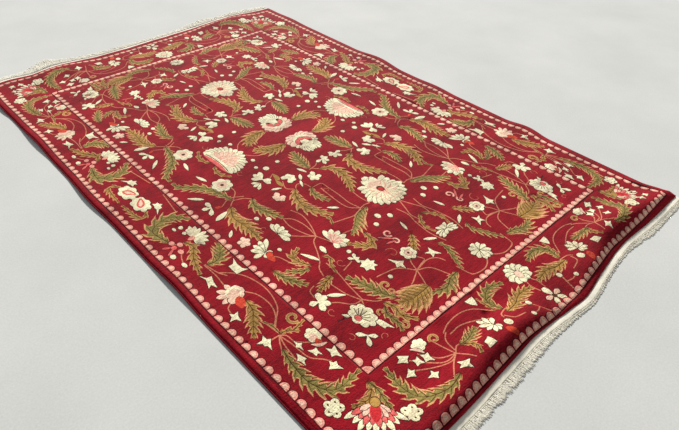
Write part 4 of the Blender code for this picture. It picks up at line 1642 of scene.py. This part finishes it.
# %% [markdown]
# ## Floor, light and camera
#
# The floor is plain and pale. One broad lamp stands low behind the rug's far right corner, so that
# the near ridge turns its outer face into shade. The camera stands where a person took the picture,
# at eye height near the rug's left corner.

# %% Floor
FLOOR_HALF, FLOOR_LEVEL = 9.0, -0.0004
floor_corners = [
    (x * FLOOR_HALF, y * FLOOR_HALF, FLOOR_LEVEL) for x, y in ((-1, -1), (1, -1), (1, 1), (-1, 1))
]
floor_mesh = bpy.data.meshes.new("floor")
floor_mesh.from_pydata(floor_corners, [], [(0, 1, 2, 3)])
floor = bpy.data.objects.new("floor", floor_mesh)
bpy.context.collection.objects.link(floor)
floor_finish, tree, shader, places = new_finish("pale_floor")
stain = noise_at(tree, places, (-900, 100), 1.7, detail=5.0)
grain = noise_at(tree, places, (-900, -200), 160.0, detail=2.0)
tone = weighed(tree, ((stain, 0.6), (grain, 0.5)), (-500, 0))
coloured(tree, shader, tone, (0.1, linear((176, 178, 176))), (0.9, linear((214, 214, 210))))
shader.inputs["Roughness"].default_value = 0.95
floor_mesh.materials.append(floor_finish)
print("floor", 2 * FLOOR_HALF, "m wide")

# %% Lamps
scene = bpy.context.scene
scene.view_settings.view_transform = "Standard"
KEY_AZIMUTH, KEY_HEIGHT = 50, 25
sun = bpy.data.lights.new("key", "SUN")
sun.energy = 6.4
sun.angle = math.radians(5)
sun.color = (1.0, 0.97, 0.92)
key = bpy.data.objects.new("key", sun)
azimuth, elevation = math.radians(KEY_AZIMUTH), math.radians(KEY_HEIGHT)
towards = Vector((
    math.cos(elevation) * math.cos(azimuth), math.cos(elevation) * math.sin(azimuth), math.sin(elevation),
))
key.rotation_euler = towards.to_track_quat("Z", "Y").to_euler()
key.location = towards * 6
bpy.context.collection.objects.link(key)
world = bpy.data.worlds.new("soft_room")
world.use_nodes = True
world.node_tree.nodes["Background"].inputs["Color"].default_value = (0.92, 0.96, 1.0, 1.0)
world.node_tree.nodes["Background"].inputs["Strength"].default_value = 0.34
scene.world = world
print("key lamp", KEY_AZIMUTH, "degrees round,", KEY_HEIGHT, "up")

# %% Camera
EYE = Vector((-1.389 - MIDDLE_X, -1.739 - MIDDLE_Y, 1.362))
RIGHTWARDS = Vector((0.72994, -0.68308, 0.02418))
DOWNWARDS = Vector((-0.41828, -0.47439, -0.77459))
FORWARDS = Vector((0.54058, 0.55529, -0.63200))
turn = Matrix((RIGHTWARDS, -DOWNWARDS, -FORWARDS)).transposed()
camera = bpy.data.cameras.new("eye_level")
camera.sensor_width = 36.0
camera.lens = 29.81
camera.clip_end = 60
viewer = bpy.data.objects.new("eye_level", camera)
viewer.matrix_world = Matrix.Translation(EYE) @ turn.to_4x4()
bpy.context.collection.objects.link(viewer)
scene.camera = viewer
print("camera", [round(c, 3) for c in EYE], "m")
